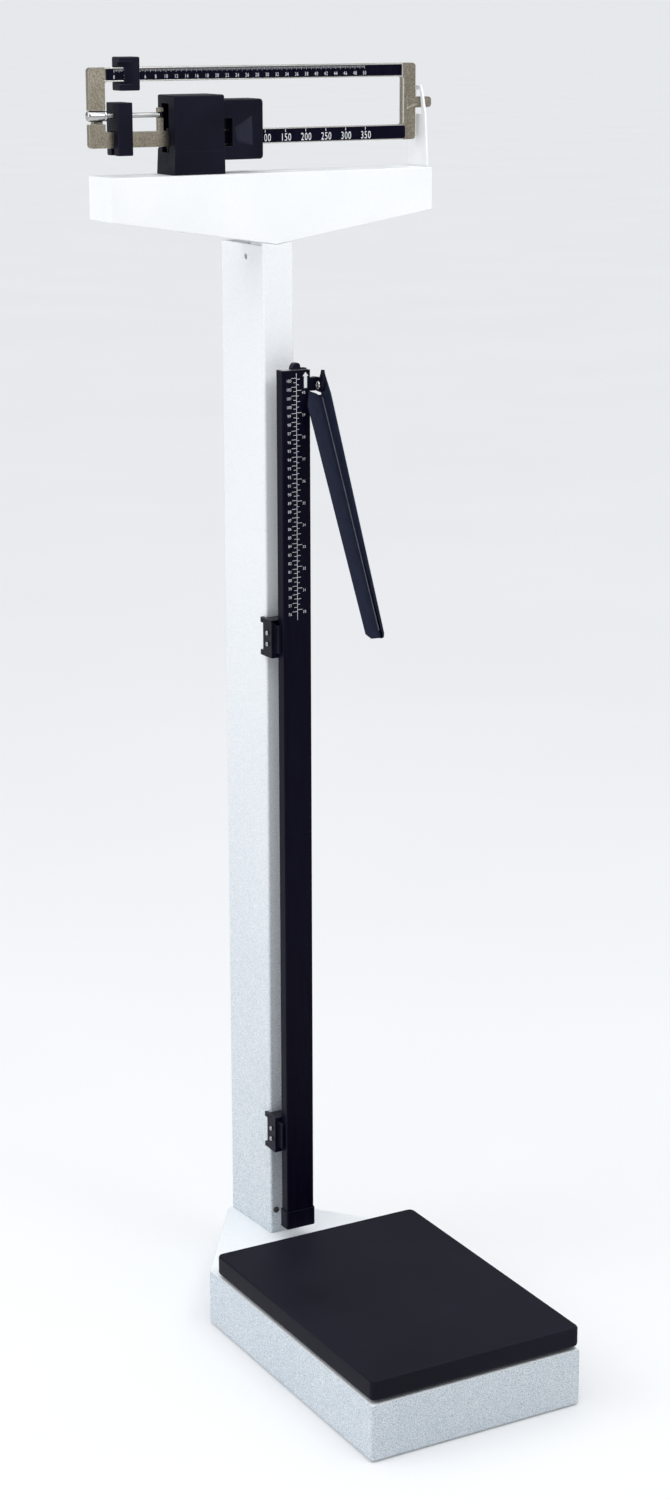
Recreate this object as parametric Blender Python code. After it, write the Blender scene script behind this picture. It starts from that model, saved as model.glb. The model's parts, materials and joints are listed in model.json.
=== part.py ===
"""Physician beam scale: a cast base with levers under a platform, a box column, a beam on a shelf, a height rod."""

import math

import bmesh
import bpy
from mathutils import Vector

MM = 0.001
GAP = 0.3                      # clearance between touching pieces, mm

# The model is drawn in millimetres about the foot of the column's front face.
COLUMN_FRONT_Y = 171.5         # where that face stands in the world
COLUMN_MIDDLE_X = 4.0          # where the column's middle stands in the world

# Base casting
BASE_HALF_WIDTH = 136.1
BASE_FRONT_Y = -450.0
BASE_SHOULDER_Y = -62.0        # where the base starts to narrow to the column
BASE_TAIL_Y = 107.0
BASE_TAIL_HALF_WIDTH = 24.0
BASE_UNDERSIDE_Z = 1.5
BASE_TOP_Z = 69.5
BASE_TAIL_DROP = 8.0
BASE_WALL = 5.0

# Column
COLUMN_HALF_WIDTH = 19.7
COLUMN_DEPTH = 105.0
COLUMN_WALL = 1.8
COLUMN_TOP_Z = 1274.0

# Platform
MAT_HALF_WIDTH = 135.2
MAT_FRONT_Y = -449.5
MAT_BACK_Y = -79.1
MAT_UNDERSIDE_Z = 73.6
MAT_TOP_Z = 97.3
MAT_WALL = 4.2
MAT_TOP_THICKNESS = 4.0

# Base levers: heights of the knife edges and distances from the column's front face
LONG_FULCRUM_Y = -425.0
LONG_LOAD_Y = -395.0
LEVER_LINK_Y = -255.0
SHORT_FULCRUM_Y = -88.0
SHORT_LOAD_Y = -118.0
LONG_LEVER_Z = (40.0, 52.0)
SHORT_LEVER_Z = (26.0, 36.0)
LEVER_HALF_WIDTH = 92.0
KNIFE_HEIGHT = 8.0
KNIFE_HALF_WIDTH = 3.6

# Beam box on the column
BEAM_Y = 28.5                  # middle plane of the beam, the links and the steelyard rod
SHELF_DEPTH = 58.0
SHELF_LEFT_X = -206.5
SHELF_RIGHT_X = 203.0
SHELF_TOP_Z = 1354.0
SHELF_END_Z = 1306.0
SHELF_APEX_X = -1.8
SHELF_APEX_Z = 1274.3
SHEET = 1.5

# Beam
BEAM_HALF_THICKNESS = 3.5
BEAM_LEFT_X = -219.0
BEAM_RIGHT_X = 194.3
BEAM_TOP_Z = 1471.0
BEAM_BOTTOM_Z = 1384.7
BEAM_WINDOW = (-199.3, 177.0, 1401.8, 1455.5)
BEAM_FULCRUM_X = -87.0
BEAM_FULCRUM_Z = 1388.0
BEAM_LOAD_X = -112.0
BEAM_LOAD_Z = 1398.0
BALANCE_SCREW_Z = 1419.3
BALANCE_SCREW_RADIUS = 2.9
PLATE_THICKNESS = 0.8

# Shelf lever, inside the beam box
SHELF_LEVER_Z = (1314.0, 1326.0)
SHELF_FULCRUM_X = 60.0
SHELF_FULCRUM_Z = 1315.6
STEELYARD_RADIUS = 3.0

# Height rod
ROD_LEFT_X = -16.0
ROD_RIGHT_X = 20.5
ROD_FRONT_Y = -37.0
ROD_BACK_Y = -21.0
ROD_TOP_Z = 1136.0
ROD_BOTTOM_Z = 88.0
ROD_WALL = 1.2
INNER_ROD_CLEARANCE = 1.0

# Headpiece, drawn hanging: its hinge and the lean of the blade from upright
HINGE_Y = -40.5
HINGE_Z = 1118.3
FLANGE_X = 33.0
BLADE_LEAN = math.radians(27.6)
BLADE_LENGTH = 301.0
BLADE_WIDTH_TOP = 21.6
BLADE_WIDTH_TIP = 19.2
FLANGE_DEPTH_TOP = 20.0
FLANGE_DEPTH_TIP = 9.0
BLADE_SHEET = 1.4
WEB_OFFSET = 6.2               # how far the web lies behind the hinge


def clear_scene():
    for obj in list(bpy.data.objects):
        bpy.data.objects.remove(obj, do_unlink=True)


def make_material(name, colour, roughness, metallic=0.0):
    material = bpy.data.materials.new(name)
    material.use_nodes = True
    shader = material.node_tree.nodes["Principled BSDF"]
    shader.inputs["Base Color"].default_value = (*colour, 1.0)
    shader.inputs["Roughness"].default_value = roughness
    shader.inputs["Metallic"].default_value = metallic
    return material


def white_enamel(name):
    return make_material(name, (0.82, 0.84, 0.86), 0.4)


def black_plastic(name):
    return make_material(name, (0.016, 0.016, 0.024), 0.45)


def black_paint(name):
    return make_material(name, (0.012, 0.012, 0.02), 0.35)


def die_cast(name):
    return make_material(name, (0.42, 0.39, 0.33), 0.38, 1.0)


def cast_iron(name):
    return make_material(name, (0.11, 0.11, 0.12), 0.65, 0.6)


def steel(name):
    return make_material(name, (0.45, 0.45, 0.46), 0.35, 1.0)


def chrome(name):
    return make_material(name, (0.8, 0.8, 0.8), 0.12, 1.0)


def aluminium(name):
    return make_material(name, (0.7, 0.72, 0.73), 0.35, 1.0)


def rubber(name):
    return make_material(name, (0.015, 0.015, 0.02), 0.75)


def new_object(name, points, faces, origin, material=None):
    """An object from points in millimetres, with its origin at the given point."""
    centre = Vector(origin)
    mesh = bpy.data.meshes.new(name)
    mesh.from_pydata([(Vector(p) - centre) * MM for p in points], [], faces)
    shape = bmesh.new()
    shape.from_mesh(mesh)
    bmesh.ops.recalc_face_normals(shape, faces=shape.faces)
    shape.to_mesh(mesh)
    shape.free()
    obj = bpy.data.objects.new(name, mesh)
    obj.location = centre * MM
    bpy.context.scene.collection.objects.link(obj)
    obj.parent = stand_origin
    if material is not None:
        mesh.materials.append(material)
    return obj


def prism(name, outline, axis, low, high, origin, material=None):
    """A polygon drawn in the two other axes, run along one axis. The ends may be numbers or functions of the point."""
    def place(point, end):
        along = end(point) if callable(end) else end
        a, b = point
        return {"x": (along, a, b), "y": (a, along, b), "z": (a, b, along)}[axis]

    count = len(outline)
    points = [place(p, low) for p in outline] + [place(p, high) for p in outline]
    faces = [list(range(count)), list(range(count, 2 * count))]
    faces += [[i, (i + 1) % count, count + (i + 1) % count, count + i] for i in range(count)]
    return new_object(name, points, faces, origin, material)


def rectangle(a0, a1, b0, b1):
    return [(a0, b0), (a1, b0), (a1, b1), (a0, b1)]


def rounded_rectangle(a0, a1, b0, b1, radius, steps=3):
    outline = []
    corners = [(a1 - radius, b0 + radius, -90), (a1 - radius, b1 - radius, 0),
               (a0 + radius, b1 - radius, 90), (a0 + radius, b0 + radius, 180)]
    for a, b, start in corners:
        for step in range(steps + 1):
            angle = math.radians(start + 90 * step / steps)
            outline.append((a + radius * math.cos(angle), b + radius * math.sin(angle)))
    return outline


def circle(a, b, radius, steps=16):
    return [(a + radius * math.cos(2 * math.pi * i / steps), b + radius * math.sin(2 * math.pi * i / steps))
            for i in range(steps)]


def block(name, x0, x1, y0, y1, z0, z1, origin, material=None):
    return prism(name, rectangle(x0, x1, y0, y1), "z", z0, z1, origin, material)


def as_tool(tool):
    tool.hide_render = True
    tool.display_type = "WIRE"
    return tool


def combine(target, tool, operation):
    modifier = target.modifiers.new(operation.title(), "BOOLEAN")
    modifier.operation = operation
    modifier.solver = "EXACT"
    modifier.object = as_tool(tool)


def cut(target, *tools):
    for tool in tools:
        combine(target, tool, "DIFFERENCE")


def join(target, *tools):
    for tool in tools:
        combine(target, tool, "UNION")


def round_edges(obj, width, segments=2, angle=40):
    modifier = obj.modifiers.new("Round edges", "BEVEL")
    modifier.width = width * MM
    modifier.segments = segments
    modifier.limit_method = "ANGLE"
    modifier.angle_limit = math.radians(angle)


def smooth(obj):
    for polygon in obj.data.polygons:
        polygon.use_smooth = True


def tail_top(y):
    """Height of the base's upper surface, which falls away behind the platform."""
    run = max(0.0, y - BASE_SHOULDER_Y) / (BASE_TAIL_Y - BASE_SHOULDER_Y)
    return BASE_TOP_Z - BASE_TAIL_DROP * run


# ---------------------------------------------------------------- base

def base_shape(name, inset, bottom, top_drop, material=None):
    """The plan of the base as a closed body, moved in by the inset on every side."""
    side = BASE_HALF_WIDTH - inset
    tail = BASE_TAIL_HALF_WIDTH - inset
    back = BASE_TAIL_Y - inset
    plan = [(-side, BASE_FRONT_Y + inset), (side, BASE_FRONT_Y + inset), (side, BASE_SHOULDER_Y),
            (tail, back), (-tail, back), (-side, BASE_SHOULDER_Y)]
    points = [(x, y, bottom) for x, y in plan] + [(x, y, tail_top(y) - top_drop) for x, y in plan]
    faces = [[0, 1, 2, 3, 4, 5], [6, 7, 8, 11], [11, 8, 9, 10]]
    faces += [[i, (i + 1) % 6, 6 + (i + 1) % 6, 6 + i] for i in range(6)]
    return new_object(name, points, faces, (0, 0, 0), material)


def bearing_shelf(name, side, fulcrum_y, top):
    inner = side * 97.0
    outer = side * (BASE_HALF_WIDTH - 2.0)
    return block(name, min(inner, outer), max(inner, outer), fulcrum_y - 15, fulcrum_y + 15, top - 7, top, (0, 0, 0))


def build_base():
    base = base_shape("base_casting", 0.0, BASE_UNDERSIDE_Z, 0.0, white_enamel("base_casting"))
    round_edges(base, 3.0)
    cavity = base_shape("base_cavity", BASE_WALL, -10.0, BASE_WALL)
    opening = block("base_opening", -113, 113, -439, -93, 40, 90, (0, 0, 0))
    rod_hole = block("base_rod_hole", -14, 14, 10, 90, 40, 90, (0, 0, 0))
    cut(base, cavity, opening, rod_hole)
    for index, side in enumerate((-1, 1)):
        join(base, bearing_shelf(f"front_shelf_{index}", side, LONG_FULCRUM_Y + 3, 20.0))
        join(base, bearing_shelf(f"back_shelf_{index}", side, SHORT_FULCRUM_Y, 14.0))


def build_feet():
    material = rubber("foot")
    spots = {"foot_front_left": (-112, LONG_FULCRUM_Y + 3, 12.7), "foot_front_right": (112, LONG_FULCRUM_Y + 3, 12.7),
             "foot_back_left": (-112, SHORT_FULCRUM_Y, 6.7), "foot_back_right": (112, SHORT_FULCRUM_Y, 6.7)}
    for name, (x, y, top) in spots.items():
        foot = prism(name, circle(x, y, 10.0), "z", 0.0, top, (x, y, 0), material)
        smooth(foot)


def vee_block(name, x, y, bottom, edge_z, material):
    """A bearing block with a groove along X whose bottom lies just under the knife edge."""
    half_x, half_y, rise = 11.0, 12.0, 6.0
    edge = edge_z - GAP
    outline = [(y - half_y, bottom), (y + half_y, bottom), (y + half_y, edge + rise), (y + 8, edge + rise),
               (y, edge), (y - 8, edge + rise), (y - half_y, edge + rise)]
    prism(name, outline, "x", x - half_x, x + half_x, (x, y, edge_z), material)


def build_bearings():
    material = steel("lever_bearing")
    for side, hand in ((-1, "left"), (1, "right")):
        x = side * 109.0
        vee_block(f"bearing_front_{hand}", x, LONG_FULCRUM_Y, 20.0 + GAP, 38.0, material)
        vee_block(f"bearing_back_{hand}", x, SHORT_FULCRUM_Y, 14.0 + GAP, 25.0, material)


def knife(name, axis, low, high, across, edge_z, direction, origin, material):
    """A three-sided pivot; direction 1 has its edge on top, -1 has it underneath."""
    back = edge_z - direction * KNIFE_HEIGHT
    outline = [(across, edge_z), (across + KNIFE_HALF_WIDTH, back), (across - KNIFE_HALF_WIDTH, back)]
    return prism(name, outline, axis, low, high, origin, material)


def lever_knives(prefix, fulcrum, load, fulcrum_z, load_z):
    material = steel(f"{prefix}_knife")
    origin = (0, fulcrum, fulcrum_z)
    for side, hand in ((-1, "left"), (1, "right")):
        for part, y, z, direction, reach in (("fulcrum", fulcrum, fulcrum_z, -1, 118.0), ("load", load, load_z, 1, 111.0)):
            ends = sorted((side * (LEVER_HALF_WIDTH + GAP), side * reach))
            knife(f"{prefix}_{part}_knife_{hand}", "x", ends[0], ends[1], y, z, direction, origin, material)


def build_long_lever():
    half = LEVER_HALF_WIDTH
    plan = [(-half, -435), (half, -435), (half, -383), (15, -278), (9, -250), (7, 38), (-7, 38), (-9, -250),
            (-15, -278), (-half, -383)]
    origin = (0, LONG_FULCRUM_Y, 38.0)
    lever = prism("long_lever", plan, "z", *LONG_LEVER_Z, origin, cast_iron("long_lever"))
    gap = prism("long_lever_gap", [(-62, -384), (62, -384), (4, -306), (-4, -306)], "z", 20, 80, origin)
    round_edges(lever, 1.5, 1)
    cut(lever, gap)
    lever_knives("long_lever", LONG_FULCRUM_Y, LONG_LOAD_Y, 38.0, 54.0)


def build_short_lever():
    half = LEVER_HALF_WIDTH
    plan = [(-half, -78), (-half, -129), (-15, -232), (-8, -262), (8, -262), (15, -232), (half, -129), (half, -78)]
    origin = (0, SHORT_FULCRUM_Y, 25.0)
    lever = prism("short_lever", plan, "z", *SHORT_LEVER_Z, origin, cast_iron("short_lever"))
    gap = prism("short_lever_gap", [(-62, -128), (62, -128), (4, -206), (-4, -206)], "z", 10, 60, origin)
    round_edges(lever, 1.5, 1)
    cut(lever, gap)
    lever_knives("short_lever", SHORT_FULCRUM_Y, SHORT_LOAD_Y, 25.0, 38.0)


def ring(name, axis, outer, inner, low, high, origin, material):
    frame = prism(name, rectangle(*outer), axis, low, high, origin, material)
    hole = prism(f"{name}_hole", rectangle(*inner), axis, low - 10, high + 10, origin)
    cut(frame, hole)
    return frame


def build_lever_link():
    ring("lever_link", "y", (-17, 17, 20, 59), (-12.5, 12.5, 24.5, 54.5), LEVER_LINK_Y - 4, LEVER_LINK_Y + 4,
         (0, LEVER_LINK_Y, 52), steel("lever_link"))


# ---------------------------------------------------------------- platform

def build_platform():
    wall = MAT_WALL
    origin = (0, 0, MAT_UNDERSIDE_Z)
    plan = rounded_rectangle(-MAT_HALF_WIDTH, MAT_HALF_WIDTH, MAT_FRONT_Y, MAT_BACK_Y, 7.0)
    mat = prism("platform_mat", plan, "z", MAT_UNDERSIDE_Z, MAT_TOP_Z, origin, rubber("platform_mat"))
    round_edges(mat, 2.4)
    inner = rounded_rectangle(-MAT_HALF_WIDTH + wall, MAT_HALF_WIDTH - wall, MAT_FRONT_Y + wall, MAT_BACK_Y - wall, 4.0)
    cut(mat, prism("mat_inside", inner, "z", 40, MAT_TOP_Z - MAT_TOP_THICKNESS, origin))
    inset = wall + GAP
    deck_top = MAT_TOP_Z - MAT_TOP_THICKNESS - GAP
    deck_plan = rounded_rectangle(-MAT_HALF_WIDTH + inset, MAT_HALF_WIDTH - inset, MAT_FRONT_Y + inset,
                                  MAT_BACK_Y - inset, 3.7)
    deck = prism("platform_deck", deck_plan, "z", MAT_UNDERSIDE_Z + 1, deck_top, origin, cast_iron("platform_deck"))
    hollow = rectangle(-125, 125, MAT_FRONT_Y + inset + 6, MAT_BACK_Y - inset - 6)
    cut(deck, prism("deck_inside", hollow, "z", 40, deck_top - 5.5, origin))
    for name, y, edge in (("front", LONG_LOAD_Y, 54.0), ("back", SHORT_LOAD_Y, 38.0)):
        for side in (-1, 1):
            join(deck, load_post(f"deck_post_{name}_{side + 1}", side * 102.0, y, edge, deck_top))


def load_post(name, x, y, edge_z, deck_top):
    """A leg of the platform with a groove in its foot that straddles a knife edge."""
    edge = edge_z + GAP
    outline = [(y - 9, edge - 5), (y - 6, edge - 5), (y, edge), (y + 6, edge - 5), (y + 9, edge - 5),
               (y + 9, deck_top - 2), (y - 9, deck_top - 2)]
    return prism(name, outline, "x", x - 7, x + 7, (0, 0, 0))


# ---------------------------------------------------------------- column

def shelf_underside(x):
    if x < SHELF_APEX_X:
        run = (SHELF_APEX_X - x) / (SHELF_APEX_X - SHELF_LEFT_X)
    else:
        run = (x - SHELF_APEX_X) / (SHELF_RIGHT_X - SHELF_APEX_X)
    return SHELF_APEX_Z + run * (SHELF_END_Z - SHELF_APEX_Z)


def build_column():
    side, wall = COLUMN_HALF_WIDTH, COLUMN_WALL
    plan = rounded_rectangle(-side, side, 0.0, COLUMN_DEPTH, 3.0, 2)
    column = prism("column", plan, "z", lambda p: tail_top(p[1]) + GAP, COLUMN_TOP_Z + 6, (0, 0, 0),
                   white_enamel("column"))
    inside = rectangle(-side + wall, side - wall, wall, COLUMN_DEPTH - wall)
    cut(column, prism("column_inside", inside, "z", 0, 1400, (0, 0, 0)))
    reach = 40.0
    vee = [(-reach, shelf_underside(-reach) - GAP), (SHELF_APEX_X, SHELF_APEX_Z - GAP),
           (reach, shelf_underside(reach) - GAP), (reach, 1400), (-reach, 1400)]
    cut(column, prism("column_top_vee", vee, "y", -20, 130, (0, 0, 0)))
    slit = block("column_side_slit", -60, 60, 5.0, COLUMN_DEPTH + 20, COLUMN_TOP_Z - 1.2, 1400, (0, 0, 0))
    side_hole = prism("column_side_hole", circle(42.5, 1258.5, 3.3), "x", -60, 60, (0, 0, 0))
    screw_hole = prism("column_screw_hole", circle(-12.6, 97.0, 2.3, 12), "y", -10, 10, (0, 0, 0))
    cut(column, slit, side_hole, screw_hole)


def screw(name, x, y, z, axis, direction, head_radius, head_height, shank_radius, shank_length, material):
    """A pan-head screw whose head bears on the point given and whose shank runs inwards along the direction."""
    head = circle(*{"x": (y, z), "y": (x, z), "z": (x, y)}[axis], head_radius, 12)
    shank = circle(*{"x": (y, z), "y": (x, z), "z": (x, y)}[axis], shank_radius, 10)
    seat = {"x": x, "y": y, "z": z}[axis]
    outer = seat - direction * head_height
    inner = seat + direction * shank_length
    overlap = seat - direction * head_height * 0.5
    origin = (x, y, z)
    body = prism(name, head, axis, min(outer, seat), max(outer, seat), origin, material)
    join(body, prism(f"{name}_shank", shank, axis, min(overlap, inner), max(overlap, inner), origin))
    return body


def build_column_fixings():
    screw("column_screw", -12.6, -GAP, 97.0, "y", 1, 4.0, 2.4, 2.0, 8.0, steel("column_screw"))
    material = steel("column_clamp")
    for side, hand in ((-1, "left"), (1, "right")):
        x = side * (COLUMN_HALF_WIDTH - COLUMN_WALL - GAP - 1.2)
        block(f"column_cleat_{hand}", x - 1.2, x + 1.2, 12, 88, 68.0, 96.0, (x, 50, 68), material)


# ---------------------------------------------------------------- beam box

def shelf_outline(inset):
    left, right = SHELF_LEFT_X + inset, SHELF_RIGHT_X - inset
    return [(left, SHELF_TOP_Z - inset), (right, SHELF_TOP_Z - inset), (right, SHELF_END_Z + inset),
            (SHELF_APEX_X, SHELF_APEX_Z + inset), (left, SHELF_END_Z + inset)]


def build_shelf():
    origin = (SHELF_APEX_X, 0, SHELF_APEX_Z)
    shelf = prism("beam_box", shelf_outline(0.0), "y", 0.0, SHELF_DEPTH, origin, white_enamel("beam_box"))
    round_edges(shelf, 1.0, 1)
    cut(shelf, prism("beam_box_inside", shelf_outline(SHEET), "y", SHEET, SHELF_DEPTH - SHEET, origin))
    openings = {"housing_mouth": (-121, -66, 11, 46), "post_slot": (197.5, 201.5 - GAP, 4, 53.5),
                "end_slit": (-205.0, -203.4, SHEET, SHELF_DEPTH - SHEET)}
    for name, (x0, x1, y0, y1) in openings.items():
        cut(shelf, block(name, x0, x1, y0, y1, SHELF_TOP_Z - 6, SHELF_TOP_Z + 10, origin))
    cut(shelf, block("shelf_rod_hole", -15, 13, 8, 50, 1250, 1300, origin))


def build_trig_loop():
    profile = [(9, 1322), (48, 1322), (50.6, 1354), (45.6, 1414), (40.2, 1433), (35.0, 1445.5), (22.0, 1445.5),
               (16.8, 1433), (11.4, 1414), (6.4, 1354)]
    low = SHELF_RIGHT_X - SHEET - GAP - 2.4
    loop = prism("trig_loop", profile, "x", low, low + 2.4, (low, BEAM_Y, 1322), white_enamel("trig_loop"))
    window = [(18.5, 1413.2), (38.5, 1413.2), (34.0, 1440.8), (23.0, 1440.8)]
    cut(loop, prism("trig_window", window, "x", low - 10, low + 10, (low, BEAM_Y, 1322)))


def stand_profile(foot_z, top_z, edge_z, x):
    """Cheek of a bearing stand seen from the front, with the groove for a knife edge."""
    edge = edge_z - GAP
    return [(x - 14, foot_z), (x + 14, foot_z), (x + 14, foot_z + 4), (x + 9, foot_z + 10), (x + 9, top_z),
            (x + 6, top_z), (x, edge), (x - 6, top_z), (x - 9, top_z), (x - 9, foot_z + 10), (x - 14, foot_z + 4)]


def build_stand(name, x, foot_z, top_z, edge_z, near, far):
    """Two cheeks on a common foot, one on each side of the middle plane."""
    origin = (x, BEAM_Y, edge_z)
    stand = prism(name, stand_profile(foot_z, top_z, edge_z, x), "y", BEAM_Y - far, BEAM_Y + far, origin,
                  cast_iron(name))
    cut(stand, block(f"{name}_throat", x - 40, x + 40, BEAM_Y - near, BEAM_Y + near, foot_z + 3, top_z + 40, origin))


def build_stands():
    x = BEAM_FULCRUM_X
    build_stand("fulcrum_stand", x, shelf_underside(x - 14) + SHEET + 0.6, BEAM_FULCRUM_Z + 7, BEAM_FULCRUM_Z, 8.0, 14.5)
    x = SHELF_FULCRUM_X
    build_stand("shelf_fulcrum_stand", x, shelf_underside(x + 14) + SHEET + 0.6, SHELF_FULCRUM_Z + 6,
                SHELF_FULCRUM_Z, 8.0, 14.5)


def build_housing():
    left, right, front, back, top = -124.4, -62.6, 6.5, 50.5, 1440.5
    crease, bottom = 1379.0, SHELF_TOP_Z + GAP
    origin = (left, front, bottom)
    housing = prism("pivot_housing", rectangle(left, right, front, back), "z", crease, top, origin,
                    black_plastic("pivot_housing"))
    round_edges(housing, 2.0)
    skirt = [(left - 1.6, bottom), (right + 0.2, bottom), (right, crease + 3), (left, crease + 3)]
    join(housing, prism("housing_skirt", skirt, "y", front + 0.7, back + 0.2, origin))
    cut(housing, block("housing_inside", left + 2.6, right - 2.6, front + 3.2, back - 2.6, 1300, top - 2.6, origin))
    cut(housing, block("housing_slot", left - 20, right + 20, 22.0, 40.0, 1378.0, 1431.5, origin))


# ---------------------------------------------------------------- beam

def beam_knife_outline(x, edge_z, direction, grow):
    back = edge_z - direction * (KNIFE_HEIGHT + grow)
    tip = edge_z + direction * 2.2 * grow
    half = KNIFE_HALF_WIDTH + 1.4 * grow
    return [(x, tip), (x + half, back), (x - half, back)]


def build_beam():
    near, far = BEAM_Y - BEAM_HALF_THICKNESS, BEAM_Y + BEAM_HALF_THICKNESS
    origin = (BEAM_FULCRUM_X, BEAM_Y, BEAM_FULCRUM_Z)
    outline = rounded_rectangle(BEAM_LEFT_X, BEAM_RIGHT_X, BEAM_BOTTOM_Z, BEAM_TOP_Z, 4.0)
    beam = prism("beam", outline, "y", near, far, origin, die_cast("beam"))
    window = prism("beam_window", rounded_rectangle(*BEAM_WINDOW, 1.5, 1), "y", near - 10, far + 10, origin)
    cut(beam, window)
    post = block("beam_post", -135.0, -129.4, near, far, 1396, 1427, origin)
    tongue = prism("beam_tongue", rounded_rectangle(185, 215.5, 1420.4, 1432.8, 4.0), "y", near, far, origin)
    cradle = block("beam_cradle", -210.5, -199.3, far - 3, far + 8, 1405, 1431, origin)
    knob_gap = block("knob_gap", -230, -190, near - 5, far + 1, 1410.4, 1425.3, origin)
    join(beam, post, tongue, cradle)
    bore = prism("knob_bore", circle(BEAM_Y, BALANCE_SCREW_Z, 6.3), "x", -230, -190, origin)
    screw_bore = prism("screw_bore", circle(BEAM_Y, BALANCE_SCREW_Z, 3.4, 12), "x", -138, -126, origin)
    screw_mouth = block("screw_mouth", -138, -126, near - 5, BEAM_Y, BALANCE_SCREW_Z - 3.3, BALANCE_SCREW_Z + 3.3, origin)
    cut(beam, knob_gap, bore, screw_bore, screw_mouth)
    for name, x, edge, direction in (("fulcrum", BEAM_FULCRUM_X, BEAM_FULCRUM_Z, -1), ("load", BEAM_LOAD_X, BEAM_LOAD_Z, 1)):
        hole = beam_knife_outline(x, edge, direction, GAP)
        cut(beam, prism(f"beam_{name}_hole", hole, "y", near - 10, far + 10, origin))


def build_beam_knives():
    material = steel("beam_knife")
    origin = (BEAM_FULCRUM_X, BEAM_Y, BEAM_FULCRUM_Z)
    for name, x, edge, direction in (("fulcrum", BEAM_FULCRUM_X, BEAM_FULCRUM_Z, -1), ("load", BEAM_LOAD_X, BEAM_LOAD_Z, 1)):
        outline = beam_knife_outline(x, edge, direction, 0.0)
        prism(f"beam_{name}_knife", outline, "y", BEAM_Y - 14, BEAM_Y + 14, origin, material)


def build_scale_plates():
    front = BEAM_Y - BEAM_HALF_THICKNESS - GAP - PLATE_THICKNESS
    origin = (BEAM_FULCRUM_X, BEAM_Y, BEAM_FULCRUM_Z)
    material = black_paint("scale_plate")
    prism("upper_scale_plate", rectangle(-198.0, 175.0, 1457.4, 1469.2), "y", front, front + PLATE_THICKNESS, origin,
          material)
    lower = [(-60.0, 1386.4), (178.5, 1386.4), (180.0, 1388.0), (180.0, 1399.0), (178.5, 1400.6), (-60.0, 1400.6)]
    prism("lower_scale_plate", lower, "y", front, front + PLATE_THICKNESS, origin, material)


def build_upper_poise():
    x0, x1, y0, y1, z0, z1 = -184.5, -160.0, 18.0, 39.0, 1446.0, 1482.0
    origin = (x0, BEAM_Y, 1463.0)
    poise = block("upper_poise", x0, x1, y0, y1, z0, z1, origin, black_plastic("upper_poise"))
    round_edges(poise, 1.5)
    passage = block("upper_poise_passage", x0 - 10, x1 + 10, 23.2, 32.6, 1454.8, 1471.8, origin)
    slope = [(x0 - 10, y0 - 6), (x0 + 26.1, y0 - 6), (x0 + 6.1, 24.0), (x0 - 10, 24.0)]
    notch = prism("upper_poise_notch", slope, "z", 1453.0, 1476.5, origin)
    cut(poise, passage, notch)


def build_lower_poise():
    x0, x1, y0, y1, z0, z1 = -61.6, -11.5, 12.0, 45.0, 1369.0, 1435.0
    origin = (x0, BEAM_Y, 1393.0)
    poise = prism("lower_poise", rounded_rectangle(x0, x1, z0, z1, 4.0), "y", y0, y1, origin,
                  black_plastic("lower_poise"))
    round_edges(poise, 1.6, 1)
    low_z, high_z = 1383.9, 1402.6
    cut(poise, block("lower_poise_passage", x0 - 10, x1 + 10, 23.0, 32.8, low_z, high_z, origin))
    cut(poise, block("lower_poise_sight", x0 - 10, x0 + 11.3, y0 - 10, 25.0, low_z, 1414.5, origin))


def build_balance():
    origin = (-181.0, BEAM_Y, BALANCE_SCREW_Z)
    weight = block("balance_weight", -190.0, -172.0, 13.5, 43.5, 1376.6, 1433.6, origin, black_paint("balance_weight"))
    round_edges(weight, 0.8, 1)
    bore = prism("weight_bore", circle(BEAM_Y, BALANCE_SCREW_Z, BALANCE_SCREW_RADIUS + GAP, 16), "x", -200, -160, origin)
    saddle = block("weight_saddle", -200, -160, 24.5, 32.5, 1360, 1402.6, origin)
    cut(weight, bore, saddle)
    knob = prism("balance_screw", circle(BEAM_Y, BALANCE_SCREW_Z, 5.9, 20), "x", -220.4, -197.0, origin,
                 chrome("balance_screw"))
    round_edges(knob, 0.9, 1)
    shank = prism("balance_shank", circle(BEAM_Y, BALANCE_SCREW_Z, BALANCE_SCREW_RADIUS), "x", -200, -131.5, origin)
    join(knob, shank)


# ---------------------------------------------------------------- links between the beam and the base

def build_load_link():
    """A stirrup that hangs on the beam's load knife and passes under the end of the shelf lever."""
    x0, x1 = BEAM_LOAD_X - 5, BEAM_LOAD_X + 5
    near, far, top, bottom = 7.5, 11.5, 1404.0, 1306.0
    outline = [(BEAM_Y - far, bottom), (BEAM_Y + far, bottom), (BEAM_Y + far, top), (BEAM_Y + near, top),
               (BEAM_Y + near, bottom + 5.5), (BEAM_Y - near, bottom + 5.5), (BEAM_Y - near, top),
               (BEAM_Y - far, top)]
    origin = (BEAM_LOAD_X, BEAM_Y, BEAM_LOAD_Z)
    link = prism("load_link", outline, "x", x0 - 2, x1 + 2, origin, steel("load_link"))
    eye = [(BEAM_LOAD_X, BEAM_LOAD_Z + 1.3), (BEAM_LOAD_X + 5.6, 1389.0), (BEAM_LOAD_X + 5.6, 1387.0),
           (BEAM_LOAD_X - 5.6, 1387.0), (BEAM_LOAD_X - 5.6, 1389.0)]
    cut(link, prism("load_link_eye", eye, "y", 0, 60, origin))


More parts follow.
